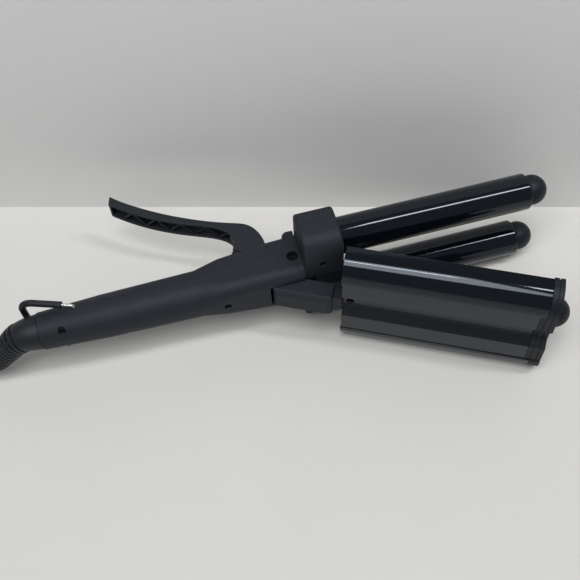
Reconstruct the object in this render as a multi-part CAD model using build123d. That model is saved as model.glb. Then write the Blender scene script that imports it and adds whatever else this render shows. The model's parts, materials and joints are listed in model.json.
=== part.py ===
"""Triple-barrel hair waver: two fixed barrels, a hinged jaw with the middle barrel, and a mains cord.

The tool is modelled lying on its left side.  X runs from the cord to the barrel tips, Y points to
the lever side and Z runs across the barrels, with the right barrel up.  While the pieces are built,
X is measured from the jaw's pivot, Y from the fixed barrels' axes and Z from the middle plane.
The last section turns that frame into one with the floor at Z = 0.  Sizes are in millimetres.
"""
import os
from math import atan2, cos, degrees, pi, radians, sin, sqrt, tan

from build123d import *

os.makedirs("parts", exist_ok=True)

# ---- fits -------------------------------------------------------------------------------------
SLIP = 0.15                 # gap around a piece that drops into its seat
RUNNING = 0.05              # radial gap around a turning shaft
SWEEP = 0.6                 # gap beside and around the moving arm in its slots
BEYOND = 200.0              # reach of a cut that passes right through
TOUCH = 0.1                 # gap between two faces that meet

# ---- barrels ----------------------------------------------------------------------------------
BARREL_R = 12.5
BARREL_WALL = 1.2
BARREL_PITCH = 26.0         # from one barrel's axis to the next
BARREL_START = 22.0         # rear end of the fixed barrels, inside the collar
BARREL_END = 165.0
MIDDLE_START = 38.5
MIDDLE_END = 169.5
TIP_R = 10.4                # round end of the barrel tip
TIP_STEP = 5.0              # from the barrel's end to the round end's centre
TIP_SHOULDER = 0.9          # height of the bevelled shoulder on the tip
TIP_PLUG = 8.0
HEATER_LENGTH = 90.0
HEATER_WIDTH = 12.0
HEATER_CORE = 3.0
CLAMP_GAP = 0.4             # from the clamp to the barrel's bore

# ---- hinge ------------------------------------------------------------------------------------
PIVOT_Y = -2.6
OPEN_ANGLE = 27.5           # jaw swung open from the closed place
PIN_R = 2.5
PIN_HEAD_R = 3.8
PIN_HEAD_DEPTH = 2.2
PIN_HEAD_SINK = 2.0         # below the handle's side
HUB_R = 9.0
HUB_SIDE = 6.0              # reach of the arm's hub on the right side
SPACER_SIDE = 12.0          # reach of the arm's hub on the left side
SPRING_WIRE = 1.0
SPRING_COILS = 3
SPRING_GAP = 0.35
SPRING_R = 4.2              # middle of the wire
SPRING_LEG = 8.0
SPRING_LEG_RISE = 0.4       # how far a leg runs on past its end of the coil
PIN_BOSS_WALL = 2.6

# ---- handle -----------------------------------------------------------------------------------
WALL = 2.2
TAIL_X = -173.0
HUB_FRONT = 5.2
# x, half width (Z), underside Y, top Y, corner radius
HANDLE_STATIONS = (
    (TAIL_X, 12.5, -13.7, 11.3, 12.1),
    (-130.0, 14.3, -16.0, 13.2, 13.8),
    (-66.0, 15.4, -16.9, 13.9, 14.4),
    (-49.0, 16.4, -17.3, 15.9, 10.0),
    (-14.0, 18.8, -18.0, 17.2, 8.5),
    (HUB_FRONT, 19.4, -18.0, 17.4, 8.0),
)
SEAM_REAR = 1.6             # parting line height along the grip
SEAM_HUMP = 3.6
SEAM_HUB = -0.6
HUMP_X = -44.0
HUMP_RUN = 25.0             # length of the slope up to the hump
STEP_X = -12.0
STEP_RUN = 3.0
SEAM_GROOVE = (0.3, 0.6)    # width and depth of the groove along a parting line
LUG_REAR = -2.6             # raised lug on the top shell, in front of the lever
LUG_HALF = 19.6
LUG_TOP = 20.2
LUG_ROUND = 5.0
LUG_REAR_ROUND = 4.0
SPIGOT = 8.0                # reach of the handle's spigot into the collar
SPIGOT_INSET = 2.6
LEVER_SLOT = (-52.5, -12.3)
LEVER_SLOT_ROUND = 2.5
ARM_SLOT_REAR = -19.3
ARM_SLOT_TOP = -9.0
BOOT_HOLE_R = 7.0

# ---- collar -----------------------------------------------------------------------------------
COLLAR_LENGTH = 26.8
COLLAR_SIDE = 4.0           # from the barrel seats to the side that the tool lies on
COLLAR_TOP = 14.8
COLLAR_BOTTOM = -17.0
COLLAR_CORNER = 5.0         # on the lever side
COLLAR_ROUND = 12.0         # underneath
COLLAR_EDGE = 2.2
COLLAR_SEAM = 3.2
COLLAR_WALL = 2.4
SEAT_WALL = 1.0             # insulating barrel seats
CRADLE_R = BARREL_R + SEAT_WALL
COLLAR_HALF = BARREL_PITCH + CRADLE_R + COLLAR_SIDE
SEAT_LENGTH = 6.0
COLLAR_SCREW_X = 17.6
COLLAR_SCREW_Z = 22.5
SCREW_R = 1.5
SCREW_HEAD_R = 2.4
SCREW_HEAD = 1.8
SCREW_SINK = 4.0            # head below the surface
COLLAR_SCREW_REACH = 5.5

# ---- jaw (sizes in its closed place) ----------------------------------------------------------
TROUGH_GAP = 1.0            # between a fixed barrel and its heated trough when the jaw is shut
PLATE_T = 1.5
PLATE_RIDGE = 2.1           # height of the plate's ridges, between its troughs and its saddle
SADDLE_GAP = 0.1
PLATE_START = 38.5
JAW_START = 37.0
JAW_END = 166.0
CAP_PROUD = 0.6
COVER_HALF = COLLAR_HALF - CAP_PROUD
COVER_RIM = -4.4
COVER_BOTTOM = -24.0
COVER_FLAT = 0.7            # flat underside between the spine and the cover's rounding
COVER_T = 1.8
SPINE_HALF = 27.2
COVER_ROUND = COVER_HALF - SPINE_HALF - COVER_FLAT
SPINE_STEP = 0.7            # spine set in from the covers' undersides
SPINE_T = 1.8
VALLEY_TOP_HALF = 10.8
VALLEY_FLOOR_HALF = 6.2
VALLEY_DEPTH = 5.4
SPINE_END = 162.5
CAP_LENGTH = 6.7
CAP_GROOVE = 0.67           # width of the groove round the end cap
TONGUE_REACH = 2.5          # spine over the inside of each cover
RIM_LIP = (2.5, 2.5)        # inward lip at the covers' rim: height and reach
PLATE_RIB = (2.4, 4.2)      # ribs of the spine under the heated plate
SPINE_SCREW_X = 42.5

# ---- arm between the jaw and the lever --------------------------------------------------------
BLOCK_HALF = 9.5
BLOCK_REAR = -8.8
BLOCK_FRONT = 31.0
BLOCK_TOP = -10.0
BLOCK_BOTTOM = -24.6
BLOCK_CHAMFER = 3.0
PAD_REAR = -44.0
PAD_FRONT = -19.5
PAD_TOP = 5.5
PAD_T = 5.5
LINK_HALF = 6.0
LINK_BOTTOM = -19.6
TONGUE_LENGTH = 30.0

# ---- lever (closed place, measured from the pivot) --------------------------------------------
LEVER_WIDTH = 14.0
LEVER_TOP = ((-22.8, 14.5), (-28.6, 22.6), (-38.5, 28.6), (-52.0, 28.1), (-72.0, 26.3),
             (-93.0, 26.3), (-115.0, 28.2), (-132.0, 31.1), (-144.5, 34.5))
LEVER_UNDER = ((-142.8, 27.1), (-126.0, 23.2), (-105.0, 20.6), (-86.0, 20.4), (-69.5, 21.3),
               (-57.0, 21.0), (-48.5, 17.9), (-44.6, 12.0))
LEVER_WALL = 1.8
LEVER_CHANNEL_FRONT = -50.0
RIB_PITCH = 9.2
RIB_T = 1.3
LEVER_LIP = 0.8
LEVER_SCREW_X = (PAD_REAR + 7.0, PAD_FRONT - 6.0)
LEVER_SCREW_TOP = PAD_TOP + 6.0

# ---- controls ---------------------------------------------------------------------------------
PANEL_X = (-128.0, -66.0)
PANEL_HALF = 5.6
PANEL_Y = 11.6
PANEL_T = 1.6
PANEL_LEDGE = 1.4
WINDOW_X = -114.5
WINDOW_LENGTH = 18.0
WINDOW_HALF = 3.9
BUTTON_R = 3.4
BUTTON_PROUD = 0.6
BUTTON_EDGE = 0.4
BUTTON_TRAVEL = 0.8
BUTTON_FLANGE = 0.6         # reach of the flange past the button's side
BUTTON_FLANGE_T = 0.9
BUTTON_STEM_R = 1.5
DISPLAY_HALF = 3.9
BUTTONS = {"minus_button": -96.0, "plus_button": -86.0, "power_button": -74.5}
BOARD_X = (-136.0, -60.0)
BOARD_Y = SEAM_REAR + SLIP
BOARD_T = 1.6
BOARD_HALF = 9.5
SWITCH_H = 3.4
SWITCH_HALF = 3.0

# ---- leads inside the handle ------------------------------------------------------------------
LEAD_R = 1.1
LEAD_SIDE = 7.6             # from the middle plane to a lead's end on the board
LEAD_OVERLAP = 8.0          # how far a heater lead lies on the board
MAINS_OVERLAP = 5.0
HEATER_LEAD_BEND = 3.0
MAINS_LEAD_BEND = 1.6
HEATER_LEAD_ROUTE = ((-56.0, 5.45, 8.2), (-44.0, 8.6, 10.0), (4.0, 8.6, 10.0), (13.5, 3.0, 12.0),
                     (21.0, 0.0, 17.2), (32.0, 0.0, 19.5))
HEATER_LEAD_END = 21.5
MAINS_LEAD_ROUTE = ((-151.0, -1.2, 2.0), (-144.5, 4.0, 7.4), (-138.0, 4.55, 7.8))
MAINS_ENTRY = 14.6          # straight stretch of a mains lead out of the boot

# ---- hanging loop -----------------------------------------------------------------------------
HANGER_X = -147.0
HANGER_ANGLE = 20.0         # swung towards the lever side, from straight back
HANGER_REACH = 37.0
HANGER_HALF = 16.2
HANGER_WIRE_R = 1.1
HANGER_SLEEVE_R = 2.3
HANGER_BARE = 8.0
HANGER_END_R = 9.0
HANGER_BEND_R = 2.6

# ---- cord -------------------------------------------------------------------------------------
CORD_R = 3.25
# distance along the boot and its radius there
BOOT_STATIONS = ((0.0, 12.0), (6.0, 11.7), (14.0, 10.4), (22.0, 9.3), (31.0, 8.6), (41.0, 7.9),
                 (50.0, 6.4), (56.7, 5.0))
BOOT_STRAIGHT = 6.0         # then it droops, runs straight and lifts again
BOOT_DROOP = 45.0
BOOT_DROOP_R = 20.0
BOOT_SLOPE = 19.0
BOOT_LIFT = 27.0
BOOT_LIFT_R = 34.0
BOOT_FLANGE_R = 9.0
BOOT_FLANGE_T = 2.4
BOOT_NOSE = 2.65            # reach of the boot past its flange, inside the handle
BOOT_RIB_FROM = 15.0
BOOT_RIB_PITCH = 3.0
BOOT_RIB_PROUD = 0.6
BOOT_RIB_T = 1.5
CORD_LEAD = 19.0            # straight run out of the boot and out of the coil
CORD_ROUTE = ((-253.0, 1.3, -38.0), (-267.5, 7.5, -40.25), (-282.0, 12.0, -40.25),
              (-296.0, 12.0, -40.25))
COIL_ENTRY = 38.0           # straight stretch of the cord that joins the coil
COIL_TURN_R = 37.0          # middle of the coil's turns
COIL_HALF_WIDTH = 13.0
COIL_HEIGHT = 13.0
PLUG_ROUTE = ((-369.0, -98.2, -38.6), (-362.0, -113.2, -36.65), (-351.5, -125.7, -36.65))
TIE_T = 0.8
TIE_WIDTH = 9.0
PLUG_LENGTH = 30.0
PLUG_HALF_WIDTH = 17.6
PLUG_HEIGHT = 13.7
PLUG_NECK_LENGTH = 18.0
PLUG_PIN_R = 2.0
PLUG_PIN_LENGTH = 19.0
PLUG_PIN_PITCH = 18.6


# ================================================================================ helpers
def yz_prism(face, x0, x1):
    """A face drawn in (Y, Z), run from x0 to x1."""
    return extrude(Plane.YZ.offset(x0) * face, amount=x1 - x0)


def xy_prism(face, z0, z1):
    """A face drawn in (X, Y), run from z0 to z1."""
    return extrude(Plane.XY.offset(z0) * face, amount=z1 - z0)


def block(x0, x1, y0, y1, z0, z1):
    return Pos((x0 + x1) / 2, (y0 + y1) / 2, (z0 + z1) / 2) * Box(x1 - x0, y1 - y0, z1 - z0)


def rod_x(radius, x0, x1, y=0.0, z=0.0):
    return Pos((x0 + x1) / 2, y, z) * Rot(0, 90, 0) * Cylinder(radius, x1 - x0)


def rod_y(radius, y0, y1, x=0.0, z=0.0):
    return Pos(x, (y0 + y1) / 2, z) * Rot(90, 0, 0) * Cylinder(radius, y1 - y0)


def rod_z(radius, z0, z1, x=0.0, y=0.0):
    return Pos(x, y, (z0 + z1) / 2) * Cylinder(radius, z1 - z0)


def outline(points):
    return make_face(Polyline(*points, close=True))


def one_solid(shape):
    """The largest solid of a shape, without slivers."""
    return max(shape.solids(), key=lambda solid: solid.volume)


def swing_open(shape):
    """From the jaw's closed place to the open place in which the tool lies."""
    return shape.rotate(Axis((0, PIVOT_Y, 0), (0, 0, 1)), -OPEN_ANGLE)


def mirrored(shape):
    return mirror(shape, about=Plane.XY)


def group(shapes):
    """Separate solids that share one node."""
    return Compound([solid for shape in shapes for solid in shape.solids()])


parts = {}


# ================================================================================ handle
def handle_loft(inset):
    faces = []
    for x, half, low, top, corner in HANDLE_STATIONS:
        face = RectangleRounded(top - low - 2 * inset, 2 * (half - inset), corner - inset)
        faces.append(Plane.YZ.offset(x) * Pos((low + top) / 2, 0) * face)
    return loft(faces, ruled=True)


def handle_at(x):
    """Half width, underside and top of the grip between its stations."""
    for left, right in zip(HANDLE_STATIONS, HANDLE_STATIONS[1:]):
        if left[0] <= x <= right[0]:
            share = (x - left[0]) / (right[0] - left[0])
            return [near + share * (far - near) for near, far in zip(left[1:4], right[1:4])]
    raise ValueError("x is outside the handle")


def slot_prism(half, x0, x1, y0, y1):
    """A vertical slot with round ends, |Z| < half."""
    length = x1 - x0 - 2 * half
    face = Pos((x0 + x1) / 2, 0) * SlotCenterToCenter(length, 2 * half)
    return extrude(Plane.XZ.offset(-y1) * face, amount=y1 - y0)


tail = HANDLE_STATIONS[0]
hub = HANDLE_STATIONS[-1]
TAIL_Y = (tail[2] + tail[3]) / 2
BOSS_FACE = SPACER_SIDE + SPRING_GAP
ARM_SLOT_HALF = BLOCK_HALF + 0.5
SPIGOT_HALF = hub[1] - SPIGOT_INSET
SPIGOT_LOW = COLLAR_BOTTOM + COLLAR_WALL + SLIP
SPIGOT_TOP = COLLAR_TOP - COLLAR_WALL - SLIP
# x and z of the case screws, radius of their posts and thread past the parting line
SCREW_POSTS = ((-158.0, 8.8, 3.6, 3.0), (-158.0, -8.8, 3.6, 3.0), (-49.0, 0.0, 4.0, 6.5))


def seam_tool():
    """Everything above the handle's stepped parting line."""
    rear = TAIL_X - BEYOND
    front = HUB_FRONT + BEYOND
    line = [(rear, SEAM_REAR), (HUMP_X - HUMP_RUN, SEAM_REAR), (HUMP_X, SEAM_HUMP),
            (STEP_X, SEAM_HUMP), (STEP_X + STEP_RUN, SEAM_HUB), (front, SEAM_HUB)]
    return xy_prism(outline(line + [(front, BEYOND), (rear, BEYOND)]), -BEYOND, BEYOND)


def handle_body():
    outer = handle_loft(0)
    lug_face = Pos((LUG_TOP + hub[2] + 4) / 2, 0) * RectangleRounded(
        LUG_TOP - hub[2] - 4, 2 * LUG_HALF, LUG_ROUND)
    lug = yz_prism(lug_face, LUG_REAR, HUB_FRONT)
    lug = fillet(lug.edges().filter_by(Axis.X, reverse=True).group_by(Axis.X)[0], LUG_REAR_ROUND)
    outer += lug & block(LUG_REAR - 1, HUB_FRONT, SEAM_HUB, BEYOND, -BEYOND, BEYOND)
    spigot_face = Pos((SPIGOT_TOP + SPIGOT_LOW) / 2, 0) * RectangleRounded(
        SPIGOT_TOP - SPIGOT_LOW, 2 * SPIGOT_HALF, 4)
    outer += yz_prism(spigot_face, HUB_FRONT - 3, HUB_FRONT + SPIGOT)
    cavity = handle_loft(WALL) & block(TAIL_X + WALL, HUB_FRONT - WALL, -BEYOND, BEYOND, -BEYOND, BEYOND)
    core_face = Pos((SPIGOT_TOP + SPIGOT_LOW) / 2, 0) * RectangleRounded(
        SPIGOT_TOP - SPIGOT_LOW - 2 * WALL, 2 * (SPIGOT_HALF - WALL), 2)
    cavity += yz_prism(core_face, HUB_FRONT - WALL - 1, HUB_FRONT + SPIGOT)
    return outer, cavity


def handle_shells():
    outer, cavity = handle_body()
    body = outer - cavity
    # bosses that carry the pivot pin, inside the side walls
    for side in (1, -1):
        boss = rod_z(PIN_R + PIN_BOSS_WALL, BOSS_FACE, hub[1] - 0.5, 0, PIVOT_Y)
        body += boss if side > 0 else mirrored(boss)
    # posts for the case screws
    for x, z, radius, _ in SCREW_POSTS:
        _, low, top = handle_at(x)
        post = rod_y(radius, low + 1, top - 1, x, z)
        body += post & outer
    # roof over the arm's slot, in front of the arm's hub
    body += block(HUB_R + SWEEP, HUB_FRONT + SPIGOT, SPIGOT_LOW + 1, ARM_SLOT_TOP + WALL,
                  -ARM_SLOT_HALF - WALL, ARM_SLOT_HALF + WALL)
    # ledges that carry the control board
    for x in (BOARD_X[0] + 4, BOARD_X[1] - 4):
        body += block(x - 2, x + 2, handle_at(x)[1] + 1, SEAM_REAR, -6, 6) & outer
    # frame that carries the control panel
    frame = slot_prism(PANEL_HALF + WALL, PANEL_X[0] - WALL, PANEL_X[1] + WALL,
                       PANEL_Y - PANEL_T - PANEL_LEDGE, PANEL_Y + 1)
    body += frame & outer
    # openings
    slot_face = RectangleRounded(LEVER_SLOT[1] - LEVER_SLOT[0], LEVER_WIDTH + 2 * SWEEP, LEVER_SLOT_ROUND)
    slot_face = Pos((LEVER_SLOT[0] + LEVER_SLOT[1]) / 2, 0) * slot_face
    body -= extrude(Plane.XZ.offset(-BEYOND) * slot_face, amount=BEYOND - SEAM_HUMP)
    body -= block(ARM_SLOT_REAR, HUB_FRONT + SPIGOT + 1, -BEYOND, ARM_SLOT_TOP,
                  -ARM_SLOT_HALF, ARM_SLOT_HALF)
    body -= slot_prism(PANEL_HALF + SLIP, PANEL_X[0] - SLIP, PANEL_X[1] + SLIP, PANEL_Y - PANEL_T, BEYOND)
    body -= slot_prism(PANEL_HALF - PANEL_LEDGE, PANEL_X[0] + PANEL_LEDGE, PANEL_X[1] - PANEL_LEDGE,
                       BOARD_Y + BOARD_T + 2 * LEAD_R, BEYOND)
    body -= rod_x(BOOT_HOLE_R, TAIL_X - 1, TAIL_X + WALL + 1, TAIL_Y)
    body -= rod_z(PIN_R + RUNNING, -BEYOND, hub[1] + 5, 0, PIVOT_Y)
    body -= rod_z(PIN_HEAD_R + SLIP, hub[1] - PIN_HEAD_SINK - PIN_HEAD_DEPTH, BEYOND, 0, PIVOT_Y)
    body -= rod_z(HANGER_WIRE_R + RUNNING, -BEYOND, BEYOND, HANGER_X, SEAM_REAR)
    for x, z, _, reach in SCREW_POSTS:
        low = handle_at(x)[1]
        body -= rod_y(SCREW_HEAD_R + SLIP, low - 5, low + SCREW_SINK + SCREW_HEAD, x, z)
        body -= rod_y(SCREW_R, low, SEAM_REAR + reach + 0.5, x, z)
    above = seam_tool()
    width, depth = SEAM_GROOVE
    groove = (above - Pos(0, width, 0) * above) & block(TAIL_X, HUB_FRONT, -BEYOND, BEYOND, -BEYOND, BEYOND)
    groove -= handle_loft(depth)
    return one_solid((body & above) - groove), one_solid(body - above)


parts["handle_top_shell"], parts["handle_bottom_shell"] = handle_shells()


def screw_y(x, z, y_head, y_end):
    """A screw along Y with its head at the lower end and a cross recess."""
    screw = rod_y(SCREW_HEAD_R, y_head, y_head + SCREW_HEAD, x, z)
    screw += rod_y(SCREW_R, y_head + SCREW_HEAD, y_end, x, z)
    for turn in (0, 90):
        screw -= Pos(x, y_head, z) * Rot(0, turn, 0) * Box(3.0, 1.6, 0.6)
    return screw


def handle_screws():
    screws = []
    for x, z, _, reach in SCREW_POSTS:
        screws.append(screw_y(x, z, handle_at(x)[1] + SCREW_SINK, SEAM_REAR + reach))
    return group(screws)


parts["handle_screws"] = handle_screws()


# ================================================================================ collar
COLLAR_FRONT = HUB_FRONT + COLLAR_LENGTH
SEAT_FRONT = COLLAR_FRONT - COLLAR_WALL
SEAT_REAR = SEAT_FRONT - SEAT_LENGTH
BARREL_SIDES = {"right": BARREL_PITCH, "left": -BARREL_PITCH}


def collar_section(inset):
    """Outline of the collar, set in by a distance, in (Y, Z)."""
    face = Rectangle(COLLAR_TOP - COLLAR_BOTTOM - 2 * inset, 2 * (COLLAR_HALF - inset))
    face = fillet(face.vertices().group_by(Axis.X)[0], COLLAR_ROUND - inset)
    face = fillet(face.vertices().group_by(Axis.X)[-1], COLLAR_CORNER - inset)
    return Pos((COLLAR_TOP + COLLAR_BOTTOM) / 2, 0) * face


def collar_halves():
    body = yz_prism(collar_section(0), HUB_FRONT, COLLAR_FRONT)
    ends = body.faces().filter_by(Axis.X).sort_by(Axis.X)
    body = fillet(ends[0].edges() + ends[-1].edges(), COLLAR_EDGE)
    body -= yz_prism(collar_section(COLLAR_WALL), HUB_FRONT + COLLAR_WALL, SEAT_REAR)
    for z in (COLLAR_SCREW_Z, -COLLAR_SCREW_Z):
        body += rod_y(SCREW_HEAD_R + 1.2, COLLAR_BOTTOM + 1, COLLAR_TOP - 1, COLLAR_SCREW_X, z)
    notch_top = BLOCK_TOP + PIVOT_Y + SWEEP
    notch_wall = ARM_SLOT_HALF + COLLAR_WALL
    body += block(HUB_FRONT + SPIGOT + SLIP, SEAT_REAR + 1, COLLAR_BOTTOM + 1, notch_top + COLLAR_WALL,
                  -notch_wall, notch_wall)
    for z in BARREL_SIDES.values():
        body -= rod_x(CRADLE_R, BARREL_START - SLIP, SEAT_FRONT, 0, z)
        body -= rod_x(BARREL_R + SLIP, SEAT_REAR, COLLAR_FRONT + 1, 0, z)
    mouth = Pos((SPIGOT_TOP + SPIGOT_LOW) / 2, 0) * RectangleRounded(
        SPIGOT_TOP - SPIGOT_LOW + 2 * SLIP, 2 * (SPIGOT_HALF + SLIP), 4)
    body -= yz_prism(mouth, HUB_FRONT - 1, HUB_FRONT + COLLAR_WALL + 1)
    body -= block(HUB_FRONT - 1, COLLAR_FRONT + 1, -BEYOND, notch_top, -ARM_SLOT_HALF, ARM_SLOT_HALF)
    for z in (COLLAR_SCREW_Z, -COLLAR_SCREW_Z):
        body -= rod_y(SCREW_HEAD_R + SLIP, COLLAR_BOTTOM - 1, COLLAR_BOTTOM + SCREW_SINK + SCREW_HEAD,
                      COLLAR_SCREW_X, z)
        body -= rod_y(SCREW_R, COLLAR_BOTTOM, COLLAR_SEAM + COLLAR_SCREW_REACH + 0.5, COLLAR_SCREW_X, z)
    upper = block(HUB_FRONT - 1, COLLAR_FRONT + 1, COLLAR_SEAM, BEYOND, -BEYOND, BEYOND)
    width, depth = SEAM_GROOVE
    groove = upper & block(HUB_FRONT, COLLAR_FRONT, COLLAR_SEAM, COLLAR_SEAM + width, -BEYOND, BEYOND)
    groove -= yz_prism(collar_section(depth), HUB_FRONT + depth, COLLAR_FRONT - depth)
    return one_solid((body & upper) - groove), one_solid(body - upper)


parts["collar_upper_half"], parts["collar_lower_half"] = collar_halves()
parts["collar_screws"] = group([
    screw_y(COLLAR_SCREW_X, z, COLLAR_BOTTOM + SCREW_SINK, COLLAR_SEAM + COLLAR_SCREW_REACH)
    for z in (COLLAR_SCREW_Z, -COLLAR_SCREW_Z)])


# ================================================================================ barrels
def barrel(x0, x1, z):
    return rod_x(BARREL_R, x0, x1, 0, z) - rod_x(BARREL_R - BARREL_WALL, x0 - 1, x1 + 1, 0, z)


def barrel_tip(end, z):
    """Plug, bevelled shoulder and round end, turned about the barrel's axis."""
    centre = end + TIP_STEP
    neck_x = end + TIP_SHOULDER * 2
    neck_r = sqrt(TIP_R ** 2 - (centre - neck_x) ** 2)
    bore = BARREL_R - BARREL_WALL
    profile = Polyline((end - TIP_PLUG, 0), (end - TIP_PLUG, bore - 0.05), (end, bore - 0.05),
                       (end, BARREL_R - 0.1), (neck_x, neck_r))
    tip = ThreePointArc((neck_x, neck_r), (centre + TIP_R * cos(radians(50)), TIP_R * sin(radians(50))),
                        (centre + TIP_R, 0))
    face = make_face(profile + tip + Line((centre + TIP_R, 0), (end - TIP_PLUG, 0)))
    return Pos(0, 0, z) * revolve(face, Axis.X)


def heater(x_middle, z):
    """A flat heating core and the two half-round clamps that press it to the barrel."""
    x0 = x_middle - HEATER_LENGTH / 2
    x1 = x_middle + HEATER_LENGTH / 2
    half_t = HEATER_CORE / 2
    core = block(x0, x1, -half_t, half_t, z - HEATER_WIDTH / 2, z + HEATER_WIDTH / 2)
    radius = BARREL_R - BARREL_WALL - CLAMP_GAP
    round_bar = rod_x(radius, x0, x1, 0, z)
    clamps = [round_bar & block(x0, x1, half_t, BARREL_R, z - BARREL_R, z + BARREL_R),
              round_bar & block(x0, x1, -BARREL_R, -half_t, z - BARREL_R, z + BARREL_R)]
    return core, clamps


for side, side_z in BARREL_SIDES.items():
    parts["barrel_" + side] = barrel(BARREL_START, BARREL_END, side_z)
    parts["barrel_tip_" + side] = barrel_tip(BARREL_END, side_z)
    parts["barrel_seat_" + side] = (rod_x(CRADLE_R, SEAT_REAR, SEAT_FRONT, 0, side_z)
                                    - rod_x(BARREL_R, SEAT_REAR - 1, SEAT_FRONT + 1, 0, side_z))
    core, clamps = heater((BARREL_START + BARREL_END) / 2, side_z)
    parts["heater_core_" + side] = core
    parts["heater_clamps_" + side] = group(clamps)

middle_core, middle_clamps = heater((MIDDLE_START + MIDDLE_END) / 2, 0)
middle_cap = rod_x(BARREL_R, JAW_START + 0.1, MIDDLE_START) + rod_x(
    BARREL_R - BARREL_WALL - 0.05, MIDDLE_START, MIDDLE_START + TIP_PLUG)
parts["barrel_middle"] = swing_open(barrel(MIDDLE_START, MIDDLE_END, 0))
parts["barrel_tip_middle"] = swing_open(barrel_tip(MIDDLE_END, 0))
parts["barrel_rear_plug"] = swing_open(middle_cap)
parts["heater_core_middle"] = swing_open(middle_core)
parts["heater_clamps_middle"] = group([swing_open(clamp) for clamp in middle_clamps])


# ================================================================================ jaw
TROUGH_R = BARREL_R + TROUGH_GAP
SADDLE_R = BARREL_R + SADDLE_GAP
SPINE_Y = COVER_BOTTOM + SPINE_STEP
VALLEY_Y = SPINE_Y + VALLEY_DEPTH
TONGUE_LOW = VALLEY_Y + SPINE_T
TONGUE_TOP = -(SADDLE_R + PLATE_T) - SLIP


def barrel_circles(outer_r, middle_r):
    """Circles about the three barrels' axes, in (Y, Z)."""
    return (Circle(middle_r) + Pos(0, BARREL_PITCH) * Circle(outer_r)
            + Pos(0, -BARREL_PITCH) * Circle(outer_r))


def below(y):
    return Pos(y - BEYOND / 2, 0) * Rectangle(BEYOND, BEYOND)


def cover_region(inset):
    """One cover's filled outline, set in by a distance, in (Y, Z)."""
    y0 = COVER_BOTTOM + inset
    y1 = COVER_RIM + (inset and 5.0)
    z0 = SPINE_HALF - (inset and 5.0)
    z1 = COVER_HALF - inset
    radius = COVER_ROUND - inset
    lines = Polyline((y1, z1), (y1, z0), (y0, z0), (y0, z1 - radius))
    bend = ThreePointArc((y0, z1 - radius),
                         (y0 + radius * (1 - cos(radians(45))), z1 - radius * (1 - sin(radians(45)))),
                         (y0 + radius, z1))
    return make_face(lines + bend + Line((y0 + radius, z1), (y1, z1)))


def jaw_cover():
    drop, reach = RIM_LIP
    lip = Pos(COVER_RIM - drop / 2, COVER_HALF - COVER_T - reach / 2) * Rectangle(drop, reach + 0.5)
    lip -= barrel_circles(TROUGH_R + PLATE_T + 0.02, SADDLE_R)
    shell = yz_prism((cover_region(0) - cover_region(COVER_T)) + lip, JAW_START, JAW_END)
    rear = yz_prism(cover_region(0) - barrel_circles(TROUGH_R, SADDLE_R), JAW_START, PLATE_START)
    return shell + rear


def spine_region():
    """Closed back of the jaw between the covers, with its valley, in (Y, Z)."""
    edge = ((SPINE_Y, SPINE_HALF), (SPINE_Y, VALLEY_TOP_HALF), (VALLEY_Y, VALLEY_FLOOR_HALF))
    other = tuple((y, -z) for y, z in reversed(edge))
    return outline(((0, SPINE_HALF),) + edge + other + ((0, -SPINE_HALF),))


def jaw_spine():
    slope = atan2(VALLEY_DEPTH, VALLEY_TOP_HALF - VALLEY_FLOOR_HALF)
    shift = SPINE_T * tan(slope / 2)
    inner = ((SPINE_Y + SPINE_T, SPINE_HALF + 1), (SPINE_Y + SPINE_T, VALLEY_TOP_HALF + shift),
             (VALLEY_Y + SPINE_T, VALLEY_FLOOR_HALF + shift))
    other = tuple((y, -z) for y, z in reversed(inner))
    hollow = outline(((5, SPINE_HALF + 1),) + inner + other + ((5, -SPINE_HALF - 1),))
    spine = yz_prism(spine_region() - hollow, JAW_START + 0.5, SPINE_END)
    rear = (spine_region() & below(COVER_RIM)) - barrel_circles(TROUGH_R, SADDLE_R)
    spine += yz_prism(rear, JAW_START + 0.5, PLATE_START)
    spine -= block(JAW_START - 1, PLATE_START + 1, TONGUE_LOW, 0, -LINK_HALF - SLIP, LINK_HALF + SLIP)
    spine -= rod_y(SCREW_R, VALLEY_Y - 1, TONGUE_TOP, SPINE_SCREW_X)
    for side in (1, -1):
        # tongue over the cover's inner face
        tongue = block(PLATE_START + 1, SPINE_END - 1, COVER_BOTTOM + COVER_T + SLIP,
                       SPINE_Y + 2 * SPINE_T, SPINE_HALF - TONGUE_REACH, SPINE_HALF + TONGUE_REACH)
        spine += tongue if side > 0 else mirrored(tongue)
        # rib under the middle of the heated plate
        rib = block(JAW_START + TONGUE_LENGTH + 4, SPINE_END, VALLEY_Y + SPINE_T - 0.5, PIVOT_Y, *PLATE_RIB)
        rib -= rod_x(SADDLE_R + PLATE_T + TOUCH / 2, 0, SPINE_END + 1)
        spine += rib if side > 0 else mirrored(rib)
    return spine


def cap_region(grow):
    """The whole jaw's filled outline under its rim, in (Y, Z)."""
    wing = cover_region(0)
    other = mirror(wing, about=Plane.XZ)
    region = wing + other + (spine_region() & below(COVER_RIM))
    if grow:
        region = offset(region, amount=grow, kind=Kind.INTERSECTION)
    return region


def jaw_end_cap():
    clear = barrel_circles(TROUGH_R, BARREL_R + 0.05)
    grown = cap_region(CAP_PROUD)
    groove = grown - cap_region(0)
    cap = yz_prism(grown - clear, JAW_END, JAW_END + CAP_LENGTH)
    middle = JAW_END + CAP_LENGTH / 2
    cap -= yz_prism(groove, middle - CAP_GROOVE / 2, middle + CAP_GROOVE / 2)
    plate = barrel_circles(TROUGH_R + PLATE_T + TOUCH, SADDLE_R + PLATE_T + TOUCH)
    inner = (spine_region() & below(2 - BARREL_R)) - plate
    cap += yz_prism(inner, SPINE_END + TOUCH, JAW_END)
    return one_solid(cap)


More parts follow.
